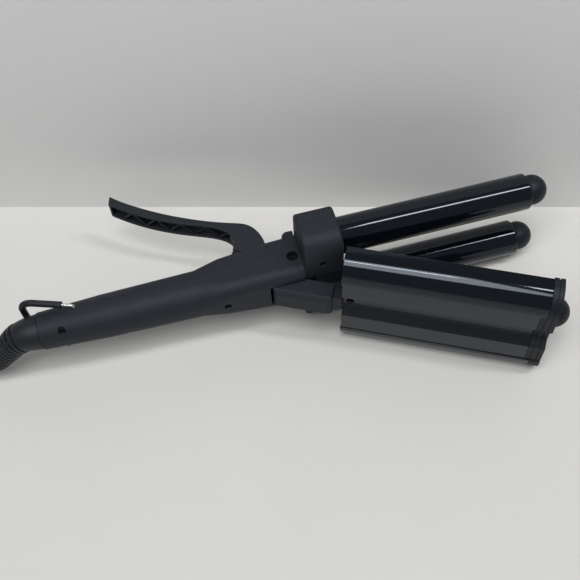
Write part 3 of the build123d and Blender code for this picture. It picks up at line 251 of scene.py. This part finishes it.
# color, the rubbed edge colour and glossTint are linear; rough is the mean and spread how far it swings;
# grain is how fine the texture is and depth how strong; the rub amount and dust are amounts; the rubbed edge
# colour is partly wear, partly a painted highlight
finishes = {
    "charcoalPlastic": {"color": (0.0135, 0.0158, 0.0215), "rubbedAndHighlit": (0.06, 0.063, 0.072),
                        "glossTint": (0.88, 0.93, 1.0), "ior": 1.4, "rough": 0.6, "spread": 0.07,
                        "grain": 2800.0, "depth": 0.14, "rubAndHighlight": 0.45, "dust": 0.05},
    "glossBlack": {"color": (0.0022, 0.0032, 0.0056), "rubbedAndHighlit": (0.02, 0.02, 0.022),
                   "glossTint": (0.8, 0.89, 1.0), "rough": 0.07, "spread": 0.02,
                   "grain": 500.0, "depth": 0.004, "rubAndHighlight": 0.1, "dust": 0.02},
    "mattBlack": {"color": (0.0055, 0.0068, 0.0105), "rubbedAndHighlit": (0.035, 0.036, 0.04),
                  "glossTint": (0.82, 0.9, 1.0), "ior": 1.4, "rough": 0.52, "spread": 0.06,
                  "grain": 2400.0, "depth": 0.08, "rubAndHighlight": 0.3, "dust": 0.05},
    "satinBlack": {"color": (0.0052, 0.0062, 0.0095), "rubbedAndHighlit": (0.05, 0.05, 0.055),
                   "glossTint": (0.84, 0.91, 1.0), "rough": 0.24, "spread": 0.05,
                   "grain": 1800.0, "depth": 0.03, "rubAndHighlight": 0.3, "dust": 0.04},
    "blackRubber": {"color": (0.0062, 0.007, 0.0098), "rubbedAndHighlit": (0.035, 0.035, 0.037),
                    "glossTint": (0.86, 0.92, 1.0), "rough": 0.52, "spread": 0.08,
                    "grain": 2000.0, "depth": 0.07, "rubAndHighlight": 0.4, "dust": 0.12},
    "cordSheath": {"color": (0.0075, 0.008, 0.009), "rubbedAndHighlit": (0.04, 0.04, 0.04), "rough": 0.36,
                   "spread": 0.06, "grain": 1500.0, "depth": 0.05, "rubAndHighlight": 0.1, "dust": 0.08},
    "paleInsulator": {"color": (0.42, 0.39, 0.34), "rubbedAndHighlit": (0.5, 0.48, 0.44), "rough": 0.6,
                      "spread": 0.08, "grain": 1500.0, "depth": 0.06, "rubAndHighlight": 0.2, "dust": 0.03},
    "zincSteel": {"color": (0.55, 0.55, 0.57), "rubbedAndHighlit": (0.75, 0.75, 0.75), "rough": 0.3, "metal": 1.0,
                  "spread": 0.12, "grain": 1800.0, "depth": 0.03, "rubAndHighlight": 0.4, "dust": 0.03},
    "darkScrew": {"color": (0.02, 0.02, 0.023), "rubbedAndHighlit": (0.08, 0.08, 0.08), "rough": 0.42, "metal": 1.0,
                  "spread": 0.1, "grain": 1800.0, "depth": 0.04, "rubAndHighlight": 0.3, "dust": 0.02},
    "brightWire": {"color": (0.72, 0.71, 0.69), "rubbedAndHighlit": (0.85, 0.85, 0.85), "rough": 0.2, "metal": 1.0,
                   "spread": 0.08, "grain": 900.0, "depth": 0.02, "rubAndHighlight": 0.2, "dust": 0.02},
    "redSilicone": {"color": (0.36, 0.02, 0.018), "rubbedAndHighlit": (0.5, 0.08, 0.07), "rough": 0.45,
                    "spread": 0.06, "grain": 1500.0, "depth": 0.04, "rubAndHighlight": 0.1, "dust": 0.03},
    "firedCeramic": {"color": (0.8, 0.77, 0.7), "rubbedAndHighlit": (0.85, 0.83, 0.8), "rough": 0.55,
                     "spread": 0.1, "grain": 1200.0, "depth": 0.08, "rubAndHighlight": 0.2, "dust": 0.02},
    "extrudedAluminium": {"color": (0.66, 0.66, 0.68), "rubbedAndHighlit": (0.8, 0.8, 0.8), "rough": 0.34, "metal": 1.0,
                          "spread": 0.1, "grain": 1400.0, "depth": 0.05, "rubAndHighlight": 0.3, "dust": 0.02},
    "greenBoard": {"color": (0.02, 0.16, 0.06), "rubbedAndHighlit": (0.2, 0.22, 0.1), "rough": 0.35,
                   "spread": 0.06, "grain": 900.0, "depth": 0.03, "rubAndHighlight": 0.2, "dust": 0.03},
    "panelBlack": {"color": (0.005, 0.005, 0.006), "rubbedAndHighlit": (0.03, 0.03, 0.03), "rough": 0.16,
                   "spread": 0.03, "grain": 700.0, "depth": 0.006, "rubAndHighlight": 0.15, "dust": 0.03},
    "smokedWindow": {"color": (0.004, 0.005, 0.006), "rubbedAndHighlit": (0.03, 0.03, 0.03), "rough": 0.05,
                     "spread": 0.01, "grain": 400.0, "depth": 0.002, "rubAndHighlight": 0.05, "dust": 0.02},
    "markGray": {"color": (0.42, 0.42, 0.44), "rubbedAndHighlit": (0.5, 0.5, 0.5), "rough": 0.5,
                 "spread": 0.05, "grain": 2000.0, "depth": 0.02, "rubAndHighlight": 0.1, "dust": 0.02},
    "grayButton": {"color": (0.11, 0.112, 0.12), "rubbedAndHighlit": (0.2, 0.2, 0.2), "rough": 0.4,
                   "spread": 0.06, "grain": 2200.0, "depth": 0.05, "rubAndHighlight": 0.4, "dust": 0.03},
}
plainFinish = {"metal": 0.0, "ior": 1.5, "glossTint": (1, 1, 1)}  # what a finish has unless it says otherwise
grainRelief = 0.0004  # metres of bump that a depth of 1 stands for


def makeFinish(name, setup):
    setup = {**plainFinish, **setup}
    material = bpy.data.materials.new(name)
    material.use_nodes = True
    tree = material.node_tree
    shader = tree.nodes["Principled BSDF"]
    shader.inputs["Metallic"].default_value = setup["metal"]
    shader.inputs["IOR"].default_value = setup["ior"]
    shader.inputs["Specular Tint"].default_value = (*setup["glossTint"], 1)
    rubbedAndHighlit = tree.nodes.new("ShaderNodeGroup")
    rubbedAndHighlit.node_tree = edgeWearAndHighlightGroup
    rubbedAndHighlit.inputs["Color"].default_value = (*setup["color"], 1)
    # the paler colour blended in along every edge: partly wear, partly a painted highlight
    rubbedAndHighlit.inputs["Rubbed And Highlit Color"].default_value = (*setup["rubbedAndHighlit"], 1)
    rubbedAndHighlit.inputs["Rub And Highlight"].default_value = setup["rubAndHighlight"]
    rubbedAndHighlit.inputs["Dust"].default_value = setup["dust"]
    tree.links.new(rubbedAndHighlit.outputs["Color"], shader.inputs["Base Color"])
    grain = tree.nodes.new("ShaderNodeGroup")
    grain.node_tree = grainGroup
    grain.inputs["Scale"].default_value = setup["grain"]
    grain.inputs["Roughness"].default_value = setup["rough"]
    grain.inputs["Spread"].default_value = setup["spread"]
    tree.links.new(grain.outputs["Roughness"], shader.inputs["Roughness"])
    bump = tree.nodes.new("ShaderNodeBump")
    bump.inputs["Strength"].default_value = setup["depth"]
    bump.inputs["Distance"].default_value = grainRelief
    tree.links.new(grain.outputs["Height"], bump.inputs["Height"])
    tree.links.new(bump.outputs["Normal"], shader.inputs["Normal"])
    return material


finish = {name: makeFinish(name, setup) for name, setup in finishes.items()}
print("finishes made:", len(finish))


def finishPiece(piece, node, finishName):
    piece.data.materials.clear()
    piece.data.materials.append(finish[finishName])
    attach(piece, nodes[node]["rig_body"])


# cord: one line from the boot, through the coil, into the plug
cordSetup = {"radius": 3.25, "order": 3, "smoothness": 6, "roundness": 6, "length": 1.68, "floor": -40.25,
             "start": ((-220.084, -1.2, -27.578), (-238.148, -1.2, -33.465), (-252.5, 1.6, -38.0),
                       (-266.0, 8.0, -40.25), (-281.0, 14.5, -40.25), (-298.0, 19.5, -40.25),
                       (-316.0, 21.6, -40.25)),
             "end": ((-380.6, -42.0, -34.6), (-380.0, -57.0, -37.8), (-378.0, -71.0, -40.1),
                     (-374.5, -84.5, -40.2), (-369.5, -98.5, -38.5), (-361.8, -113.2, -36.7),
                     (-351.5, -125.7, -36.65), (-345.0, -133.4, -36.65))}
coilSetup = {"centre": (-334.0, -25.0), "turnRadius": 37.0, "width": 9.6, "turns": 6.25, "turnsPerLayer": 3,
             "pointsPerTurn": 16, "startAngle": 90, "layerHeight": 6.5, "riseFrom": 2.7, "riseTurns": 0.4,
             "inside": 0.987}  # the smooth line runs this much inside its points


def smoothStep(value):
    value = min(max(value, 0.0), 1.0)
    return value * value * (3 - 2 * value)


def coilPoints():
    points = []
    width = coilSetup["width"]
    layer = coilSetup["turnsPerLayer"]
    for step in range(int(coilSetup["turns"] * coilSetup["pointsPerTurn"]) + 1):
        turn = step / coilSetup["pointsPerTurn"]
        if turn < layer:  # inwards along the floor, then outwards on top
            offset = width - 2 * width * turn / layer
        else:
            offset = min(2 * width * (turn - layer) / layer - width, width)
        radius = (coilSetup["turnRadius"] + offset) / coilSetup["inside"]
        angle = math.radians(coilSetup["startAngle"] + 360 * turn)
        rise = smoothStep((turn - coilSetup["riseFrom"]) / coilSetup["riseTurns"])
        points.append((coilSetup["centre"][0] + radius * math.cos(angle),
                       coilSetup["centre"][1] + radius * math.sin(angle),
                       cordSetup["floor"] + rise * coilSetup["layerHeight"]))
    return points


def makeCord():
    points = [*cordSetup["start"], *coilPoints(), *cordSetup["end"]]
    cord, spline = newLine("mainsCord", "NURBS", [at(*point) for point in points])
    spline.order_u = cordSetup["order"]
    spline.use_endpoint_u = True
    spline.resolution_u = cordSetup["smoothness"]
    cord.data.bevel_depth = cordSetup["radius"] / 1000
    cord.data.bevel_resolution = cordSetup["roundness"]
    cord.data.use_fill_caps = True
    cord.data.materials.append(finish["cordSheath"])
    return cord


mainsCord = makeCord()
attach(mainsCord, "handle")
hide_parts("cord", "cord_coil")
print("cord made")

# pieces whose CAD shape is right: merged, cleaned copies with rounded edges
# node: (piece name, finish, width of the rounding in mm, segments)
copies = {
    "handle_top_shell": ("handleTopShell", "charcoalPlastic", 0.05, 1),
    "handle_bottom_shell": ("handleBottomShell", "charcoalPlastic", 0.05, 1),
    "collar_upper_half": ("collarUpperHalf", "charcoalPlastic", 0.05, 1),
    "collar_lower_half": ("collarLowerHalf", "charcoalPlastic", 0.05, 1),
    "barrel_rear_plug": ("barrelRearPlug", "mattBlack", 0.3, 2),
    "barrel_seat_right": ("barrelSeatRight", "paleInsulator", 0.1, 1),
    "barrel_seat_left": ("barrelSeatLeft", "paleInsulator", 0.1, 1),
    "jaw_plate": ("heatedPlate", "glossBlack", 0.2, 2),
    "jaw_cover_right": ("jawCoverRight", "glossBlack", 0.3, 3),
    "jaw_cover_left": ("jawCoverLeft", "glossBlack", 0.3, 3),
    "jaw_spine": ("jawSpine", "satinBlack", 0.3, 2),
    "jaw_end_cap": ("jawEndCap", "mattBlack", 0.12, 2),
    "jaw_arm": ("jawArm", "charcoalPlastic", 0.6, 3),
    "lever": ("lever", "charcoalPlastic", 0.7, 3),
    "handle_screws": ("handleScrews", "darkScrew", 0.1, 2),
    "collar_screws": ("collarScrews", "darkScrew", 0.15, 2),
    "jaw_screw": ("jawScrew", "darkScrew", 0.15, 2),
    "lever_screws": ("leverScrews", "darkScrew", 0.15, 2),
    "pivot_pin": ("pivotPin", "darkScrew", 0.2, 2),
    "return_spring": ("returnSpring", "zincSteel", 0.0, 1),
    "hanger_wire": ("hangerWire", "brightWire", 0.0, 1),
    "hanger_sleeve": ("hangerSleeve", "blackRubber", 0.3, 2),
    "control_panel": ("controlPanel", "panelBlack", 0.2, 2),
    "display_window": ("displayWindow", "smokedWindow", 0.2, 2),
    "minus_button": ("minusButton", "grayButton", 0.25, 2),
    "plus_button": ("plusButton", "grayButton", 0.25, 2),
    "power_button": ("powerButton", "grayButton", 0.25, 2),
    "plug_body": ("plugBody", "mattBlack", 0.8, 3),
    "plug_pins": ("plugPins", "brightWire", 0.2, 2),
}
copySetup = {"merge": 0.004, "flat": 0.4, "sharp": 32}  # mm, then degrees


def roundedCopy(node, name, finishName, width, segments):
    piece = bpy.data.objects.new(name, nodes[node].data.copy())
    bpy.context.scene.collection.objects.link(piece)
    pick(piece)
    bpy.ops.object.mode_set(mode="EDIT")
    bpy.ops.mesh.select_all(action="SELECT")
    bpy.ops.mesh.remove_doubles(threshold=copySetup["merge"] / 1000)
    bpy.ops.mesh.dissolve_limited(angle_limit=math.radians(copySetup["flat"]))
    bpy.ops.object.mode_set(mode="OBJECT")
    if width:
        bevel = piece.modifiers.new("edges", "BEVEL")
        bevel.width = width / 1000
        bevel.segments = segments
        bevel.limit_method = "ANGLE"
        bevel.angle_limit = math.radians(copySetup["sharp"])
        bevel.use_clamp_overlap = False
        bevel.miter_outer = "MITER_ARC"
        applyModifier(piece, "edges")
    pick(piece)
    smoothShade()
    shading = piece.modifiers.new("shading", "WEIGHTED_NORMAL")
    shading.keep_sharp = True  # broad faces stay flat beside narrow rounded edges
    applyModifier(piece, "shading")
    finishPiece(piece, node, finishName)
    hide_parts(node)
    return piece


made = {node: roundedCopy(node, *setup) for node, setup in copies.items()}
print("rounded copies made:", len(made))

# barrels and their tips, turned about their axes; profiles are (along the barrel, radius) in mm
barrelSetup = {"radius": 12.5, "bore": 11.3, "steps": 128, "merge": 0.002, "axisReach": 100.0,
               "edge": ((0.0, 12.3), (0.06, 12.42), (0.2, 12.5), (0.7, 12.5)),
               "jawPivot": (0.0, -2.6), "jawTurn": -27.5,
               "barrels": {"barrel_right": ("barrelRight", 22.0, 165.0, 26.0, False),
                           "barrel_left": ("barrelLeft", 22.0, 165.0, -26.0, False),
                           "barrel_middle": ("barrelMiddle", 38.5, 169.5, 0.0, True)},
               "tips": {"barrel_tip_right": ("barrelTipRight", 165.0, 26.0, False),
                        "barrel_tip_left": ("barrelTipLeft", 165.0, -26.0, False),
                        "barrel_tip_middle": ("barrelTipMiddle", 169.5, 0.0, True)}}
tipSetup = {"plug": 8.0, "slip": 0.05, "rim": ((0.0, 0.15), (0.1, 0.2)), "shoulder": 1.8, "domeStep": 5.0,
            "dome": 10.4, "domeSteps": 24}


def onAxis(along, up, z, onJaw):  # a place beside a barrel's axis; the jaw's barrel is swung open
    if not onJaw:
        return at(along, 0.0, z + up)
    pivotX, pivotY = barrelSetup["jawPivot"]
    turn = math.radians(barrelSetup["jawTurn"])
    x = along - pivotX
    y = -pivotY
    return at(pivotX + x * math.cos(turn) - y * math.sin(turn),
              pivotY + x * math.sin(turn) + y * math.cos(turn), z + up)


def turnedPiece(name, node, finishName, profile, closed, z, onJaw):
    line, spline = newLine(name, "POLY", [onAxis(along, radius, z, onJaw) for along, radius in profile])
    spline.use_cyclic_u = closed
    piece = meshOf(line)
    start = onAxis(0.0, 0.0, z, onJaw)
    bpy.ops.object.mode_set(mode="EDIT")
    bpy.ops.mesh.select_all(action="SELECT")
    bpy.ops.mesh.spin(steps=barrelSetup["steps"], angle=2 * math.pi, center=start,
                      axis=(onAxis(barrelSetup["axisReach"], 0.0, z, onJaw) - start).normalized())
    bpy.ops.mesh.select_all(action="SELECT")
    bpy.ops.mesh.remove_doubles(threshold=barrelSetup["merge"] / 1000)
    bpy.ops.mesh.normals_make_consistent(inside=False)
    bpy.ops.object.mode_set(mode="OBJECT")
    smoothShade()
    finishPiece(piece, node, finishName)
    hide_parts(node)


def makeBarrels():
    edge = barrelSetup["edge"]
    for node, (name, start, end, z, onJaw) in barrelSetup["barrels"].items():
        profile = [(start, barrelSetup["bore"])]
        profile += [(start + along, radius) for along, radius in edge]
        profile += [(end - along, radius) for along, radius in reversed(edge)]
        profile += [(end, barrelSetup["bore"])]
        turnedPiece(name, node, "glossBlack", profile, True, z, onJaw)


def makeTips():
    dome = tipSetup["dome"]
    plugRadius = barrelSetup["bore"] - tipSetup["slip"]
    first = math.acos((tipSetup["shoulder"] - tipSetup["domeStep"]) / dome)
    for node, (name, end, z, onJaw) in barrelSetup["tips"].items():
        profile = [(end - tipSetup["plug"], 0.0), (end - tipSetup["plug"], plugRadius), (end, plugRadius)]
        profile += [(end + along, barrelSetup["radius"] - inwards) for along, inwards in tipSetup["rim"]]
        for number in range(tipSetup["domeSteps"] + 1):
            angle = first * (1 - number / tipSetup["domeSteps"])
            profile.append((end + tipSetup["domeStep"] + dome * math.cos(angle), dome * math.sin(angle)))
        turnedPiece(name, node, "mattBlack", profile, False, z, onJaw)


makeBarrels()
makeTips()
print("barrels made")


def sweptPiece(name, places, radii, roundness=10):  # a round bar along a line, with a radius at each place
    line, spline = newLine(name, "POLY", [at(*place) for place in places])
    for point, radius in zip(spline.points, radii):
        point.radius = radius
    line.data.bevel_depth = 1 / 1000  # so the radii are in mm
    line.data.bevel_resolution = roundness
    line.data.use_fill_caps = True
    return meshOf(line)


# boot: a smooth bell and then flat ribs with narrow grooves, along a line that droops and lifts again
# droop and lift: (degrees, radius); bell and inside: (distance, radius); rib: (along, proud of the bell)
bootSetup = {"back": (-173.0, -1.2, 0.0),
             "straight": 6.0, "droop": (45.0, 20.0), "slope": 19.0, "lift": (27.0, 34.0),
             "bell": ((0.0, 11.4), (0.5, 12.0), (3.0, 11.9), (6.0, 11.65), (10.0, 11.05), (14.0, 10.4),
                      (22.0, 9.3), (31.0, 8.6), (41.0, 7.9), (50.0, 6.4), (55.9, 5.15), (56.5, 4.9),
                      (56.7, 4.4)),
             "inside": ((-7.4, 4.25), (-4.8, 4.25), (-4.75, 9.0), (-2.4, 9.0), (-2.35, 6.85), (-0.1, 6.85)),
             "bellStep": 0.5, "ribFrom": 15.0, "ribs": 13, "ribPitch": 3.0,
             "rib": ((0.0, -1.0), (0.08, 0.38), (0.3, 0.6), (1.95, 0.6), (2.17, 0.38), (2.25, -1.0),
                     (2.9, -1.0)),
             "webs": (33, 123, 213, 303), "webRadius": 0.9, "webRange": (15, 54)}


def bootPlace(distance):  # a place on the boot's line, and how far the line has turned down there
    x, y, z = bootSetup["back"]
    if distance < 0:
        return (x - distance, y, z, 0.0)
    droop, droopRadius = bootSetup["droop"]
    lift, liftRadius = bootSetup["lift"]
    stretches = ((bootSetup["straight"], 0.0), (math.radians(droop) * droopRadius, droop),
                 (bootSetup["slope"], 0.0), (math.radians(lift) * liftRadius, -lift))
    heading = 0.0
    left = distance
    for length, turn in stretches:
        step = min(left, length)
        after = heading + math.radians(turn) * step / length
        half = abs(after - heading) / 2
        chord = step * math.sin(half) / half if half else step
        x -= chord * math.cos((heading + after) / 2)
        z -= chord * math.sin((heading + after) / 2)
        heading = after
        left -= step
    return (x, y, z, heading)


def bellRadius(distance):
    rows = bootSetup["bell"]
    for near, far in zip(rows, rows[1:]):
        if near[0] <= distance <= far[0]:
            return near[1] + (distance - near[0]) / (far[0] - near[0]) * (far[1] - near[1])
    return rows[-1][1]


def bootProfile():
    step = bootSetup["bellStep"]
    ribFrom = bootSetup["ribFrom"]
    ribEnd = ribFrom + bootSetup["ribs"] * bootSetup["ribPitch"]
    profile = list(bootSetup["inside"])
    profile += [(number * step, bellRadius(number * step)) for number in range(int(ribFrom / step))]
    for number in range(bootSetup["ribs"]):
        start = ribFrom + number * bootSetup["ribPitch"]
        profile += [(start + along, bellRadius(start + along) + proud) for along, proud in bootSetup["rib"]]
    return profile + [row for row in bootSetup["bell"] if row[0] > ribEnd]


def makeWeb(turn):  # a bar that joins the ribs along one side
    places = []
    ribHeight = max(proud for _, proud in bootSetup["rib"])
    side = math.cos(math.radians(turn))
    for distance in range(*bootSetup["webRange"]):
        x, y, z, heading = bootPlace(distance)
        reach = bellRadius(distance) + ribHeight - bootSetup["webRadius"]
        up = reach * math.sin(math.radians(turn))
        places.append((x - up * math.sin(heading), y + reach * side, z + up * math.cos(heading)))
    return sweptPiece("web", places, [bootSetup["webRadius"]] * len(places))


def makeBoot():
    profile = bootProfile()
    places = [bootPlace(distance)[:3] for distance, _ in profile]
    boot = sweptPiece("cordBoot", places, [radius for _, radius in profile])
    webs = [makeWeb(turn) for turn in bootSetup["webs"]]
    pick(boot)
    for web in webs:
        web.select_set(True)
    bpy.ops.object.join()
    smoothShade()
    finishPiece(boot, "cord_boot", "blackRubber")
    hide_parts("cord_boot")


makeBoot()
print("boot made")

# tie: a strap round the coil's turns
tieSetup = {"middle": (-297.0, -25.0, -36.6), "size": (27.6, 9.0, 13.8), "corner": 5.0, "cornerSteps": 8,
            "thick": 0.7, "rounding": 0.2, "roundingSteps": 2, "sharp": 50}


def runsAcross(mesh, edge):  # along the strap's width
    near, far = [mesh.vertices[index].co.y for index in edge.vertices]
    return abs(near - far) > 0.001


def makeTie():
    deselectAll()
    bpy.ops.mesh.primitive_cube_add(size=1, location=at(*tieSetup["middle"]))
    tie = bpy.context.object
    tie.name = "cordTie"
    tie.scale = [side / 1000 for side in tieSetup["size"]]
    bpy.ops.object.transform_apply(location=True, rotation=True, scale=True)
    bpy.ops.object.mode_set(mode="EDIT")
    bpy.ops.mesh.select_mode(type="EDGE")
    bpy.ops.mesh.select_all(action="DESELECT")
    bpy.ops.object.mode_set(mode="OBJECT")
    for edge in tie.data.edges:
        edge.select = runsAcross(tie.data, edge)
    bpy.ops.object.mode_set(mode="EDIT")
    bpy.ops.mesh.bevel(offset=tieSetup["corner"] / 1000, segments=tieSetup["cornerSteps"], affect="EDGES")
    bpy.ops.mesh.select_mode(type="FACE")
    bpy.ops.mesh.select_all(action="DESELECT")
    bpy.ops.object.mode_set(mode="OBJECT")
    for face in tie.data.polygons:
        face.select = abs(face.normal.y) > 0.9  # the strap's two open sides
    bpy.ops.object.mode_set(mode="EDIT")
    bpy.ops.mesh.delete(type="ONLY_FACE")
    bpy.ops.object.mode_set(mode="OBJECT")
    shell = tie.modifiers.new("shell", "SOLIDIFY")
    shell.thickness = tieSetup["thick"] / 1000
    shell.offset = -1
    applyModifier(tie, "shell")
    bevel = tie.modifiers.new("edges", "BEVEL")
    bevel.width = tieSetup["rounding"] / 1000
    bevel.segments = tieSetup["roundingSteps"]
    bevel.limit_method = "ANGLE"
    bevel.angle_limit = math.radians(tieSetup["sharp"])
    applyModifier(tie, "edges")
    smoothShade()
    finishPiece(tie, "cord_tie", "blackRubber")
    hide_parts("cord_tie")
    return tie


cordTie = makeTie()
print("tie made")

# marks on the buttons: half-sunk bars in a paler plastic, as lines of (x, z) from the button's middle
ringSetup = {"radius": 1.45, "turns": (38, 323, 12)}  # the power mark's ring: from, to and step in degrees
ringTurns = [math.radians(turn) for turn in range(*ringSetup["turns"])]
openRing = [(ringSetup["radius"] * math.sin(turn), ringSetup["radius"] * math.cos(turn))
            for turn in ringTurns]
markSetup = {"radius": 0.22, "proud": 0.05, "smooth": 40, "lines": {
    "minus_button": ("minusMark", [[(-1.4, 0.0), (1.4, 0.0)]]),
    "plus_button": ("plusMark", [[(-1.4, 0.0), (1.4, 0.0)], [(0.0, -1.4), (0.0, 1.4)]]),
    "power_button": ("powerMark", [[(0.0, 0.3), (0.0, 1.9)], openRing])}}


def makeMarks():
    radius = markSetup["radius"]
    for node, (name, lines) in markSetup["lines"].items():
        low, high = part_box(node)
        x = ((low.x + high.x) / 2 - originX) * 1000
        z = ((low.z + high.z) / 2 - originZ) * 1000
        y = (high.y - originY) * 1000 - radius + markSetup["proud"]
        bars = [sweptPiece(name, [(x + along, y, z + across) for along, across in line], [radius] * len(line))
                for line in lines]
        pick(bars[0])
        for bar in bars[1:]:
            bar.select_set(True)
        if len(bars) > 1:
            bpy.ops.object.join()
        pick(bars[0])
        smoothShade(markSetup["smooth"])
        finishPiece(bars[0], node, "markGray")


makeMarks()
print("button marks made")

# pins: the half next to the plug's body is sleeved
plugSetup = {"pinsPoint": (0.643, -0.766), "sleeve": 10.0}


def sleevePins():
    pins = made["plug_pins"]
    heading = Vector((*plugSetup["pinsPoint"], 0.0)).normalized()
    cut = min(vertex.co.dot(heading) for vertex in pins.data.vertices) + plugSetup["sleeve"] / 1000
    pick(pins)
    bpy.ops.object.mode_set(mode="EDIT")
    bpy.ops.mesh.select_all(action="SELECT")
    bpy.ops.mesh.bisect(plane_co=heading * cut, plane_no=heading)
    bpy.ops.object.mode_set(mode="OBJECT")
    pins.data.materials.append(finish["mattBlack"])
    for face in pins.data.polygons:
        if face.center.dot(heading) < cut:
            face.material_index = 1


sleevePins()
print("pins sleeved")

# nodes inside, seen only where a slot lets the eye in
hiddenNodes = {"heater_core_right": "firedCeramic", "heater_core_left": "firedCeramic",
               "heater_core_middle": "firedCeramic", "heater_clamps_right": "extrudedAluminium",
               "heater_clamps_left": "extrudedAluminium", "heater_clamps_middle": "extrudedAluminium",
               "control_board": "greenBoard", "display_module": "panelBlack", "heater_leads": "redSilicone",
               "mains_leads": "cordSheath"}
for node, finishName in hiddenNodes.items():
    nodes[node].data.materials.clear()
    nodes[node].data.materials.append(finish[finishName])

# room: edge is where the wall meets the floor, in mm; the other sizes are in metres
room = {"floor": (0.74, 0.73, 0.705), "floorMottle": 0.03, "floorSize": 8,
        "wall": (0.84, 0.835, 0.83), "wallMottle": 0.02, "wallHeight": 0.24, "wallHalf": 0.9,
        "edge": (16.2, 88.15), "edgeTurn": -16.62,
        "rough": 0.75, "gloss": 0.2, "mottle": (9.0, 5.0, 0.6), "sky": (0.93, 0.97, 1), "skyStrength": 0.215}


def roomMaterial(name, color, mottle, seeThroughBack):
    material = bpy.data.materials.new(name)
    material.use_nodes = True
    tree = material.node_tree
    shader = tree.nodes["Principled BSDF"]
    shader.inputs["Roughness"].default_value = room["rough"]
    shader.inputs["Specular IOR Level"].default_value = room["gloss"]
    coords = tree.nodes.new("ShaderNodeTexCoord").outputs["Object"]
    ramp = tree.nodes.new("ShaderNodeMapRange")
    ramp.inputs["To Min"].default_value = 1 - mottle
    ramp.inputs["To Max"].default_value = 1 + mottle
    tree.links.new(addNoise(tree, coords, *room["mottle"]), ramp.inputs["Value"])
    tint = tree.nodes.new("ShaderNodeMix")
    tint.data_type = "RGBA"
    tint.blend_type = "MULTIPLY"
    tint.inputs["Factor"].default_value = 1.0
    tint.inputs["A"].default_value = (*color, 1)
    tree.links.new(ramp.outputs["Result"], tint.inputs["B"])
    tree.links.new(tint.outputs["Result"], shader.inputs["Base Color"])
    if seeThroughBack:
        clear = tree.nodes.new("ShaderNodeBsdfTransparent")
        mix = tree.nodes.new("ShaderNodeMixShader")
        tree.links.new(tree.nodes.new("ShaderNodeNewGeometry").outputs["Backfacing"], mix.inputs["Fac"])
        tree.links.new(shader.outputs[0], mix.inputs[1])
        tree.links.new(clear.outputs[0], mix.inputs[2])
        tree.links.new(mix.outputs[0], tree.nodes["Material Output"].inputs["Surface"])
    return material


def makeRoom():
    deselectAll()
    bpy.ops.mesh.primitive_plane_add(size=room["floorSize"], location=(0, 0, 0))
    floor = bpy.context.object
    floor.name = "floor"
    floor.data.materials.append(roomMaterial("floorPaint", room["floor"], room["floorMottle"], False))
    edge = at(*room["edge"], 0)
    deselectAll()
    bpy.ops.mesh.primitive_plane_add(size=1, location=(edge.x, edge.y, room["wallHeight"] / 2),
                                     rotation=(math.radians(90), 0, math.radians(room["edgeTurn"])))
    wall = bpy.context.object
    wall.name = "wall"
    wall.scale = (2 * room["wallHalf"], room["wallHeight"], 1)
    bpy.ops.object.transform_apply(location=False, rotation=False, scale=True)
    wall.data.materials.append(roomMaterial("wallPaint", room["wall"], room["wallMottle"], True))


# place and aim in mm, size in metres, turn in degrees about the vertical
lamps = {
    "overheadSoft": {"place": (-350, -400, 1250), "aim": (-120, -100, -40), "size": (1.0, 0.6),
                     "watts": 9.3, "turn": 0},
    "stripFront": {"place": (600, -250, 1150), "aim": (600, 0, -40), "size": (0.7, 0.11),
                   "watts": 4.4, "turn": -22},
    "stripLeft": {"place": (-110, -230, 1150), "aim": (-110, 0, -40), "size": (0.34, 0.035),
                  "watts": 0.9, "turn": 0},
}


def makeLamps():
    for name, setup in lamps.items():
        place = at(*setup["place"])
        aim = at(*setup["aim"]) - place
        deselectAll()
        bpy.ops.object.light_add(type="AREA", location=place)
        lamp = bpy.context.object
        lamp.name = name
        lamp.data.shape = "RECTANGLE"
        lamp.data.size, lamp.data.size_y = setup["size"]
        lamp.data.energy = setup["watts"]
        lamp.rotation_euler = (math.atan2(aim.y, -aim.z), 0, math.radians(setup["turn"]))


def makeSky():
    world = bpy.data.worlds.new("room")
    world.use_nodes = True
    background = world.node_tree.nodes["Background"]
    background.inputs["Color"].default_value = (*room["sky"], 1)
    background.inputs["Strength"].default_value = room["skyStrength"]
    bpy.context.scene.world = world


makeRoom()
makeLamps()
makeSky()
bpy.context.scene.view_settings.view_transform = "Standard"
print("room and lamps made")
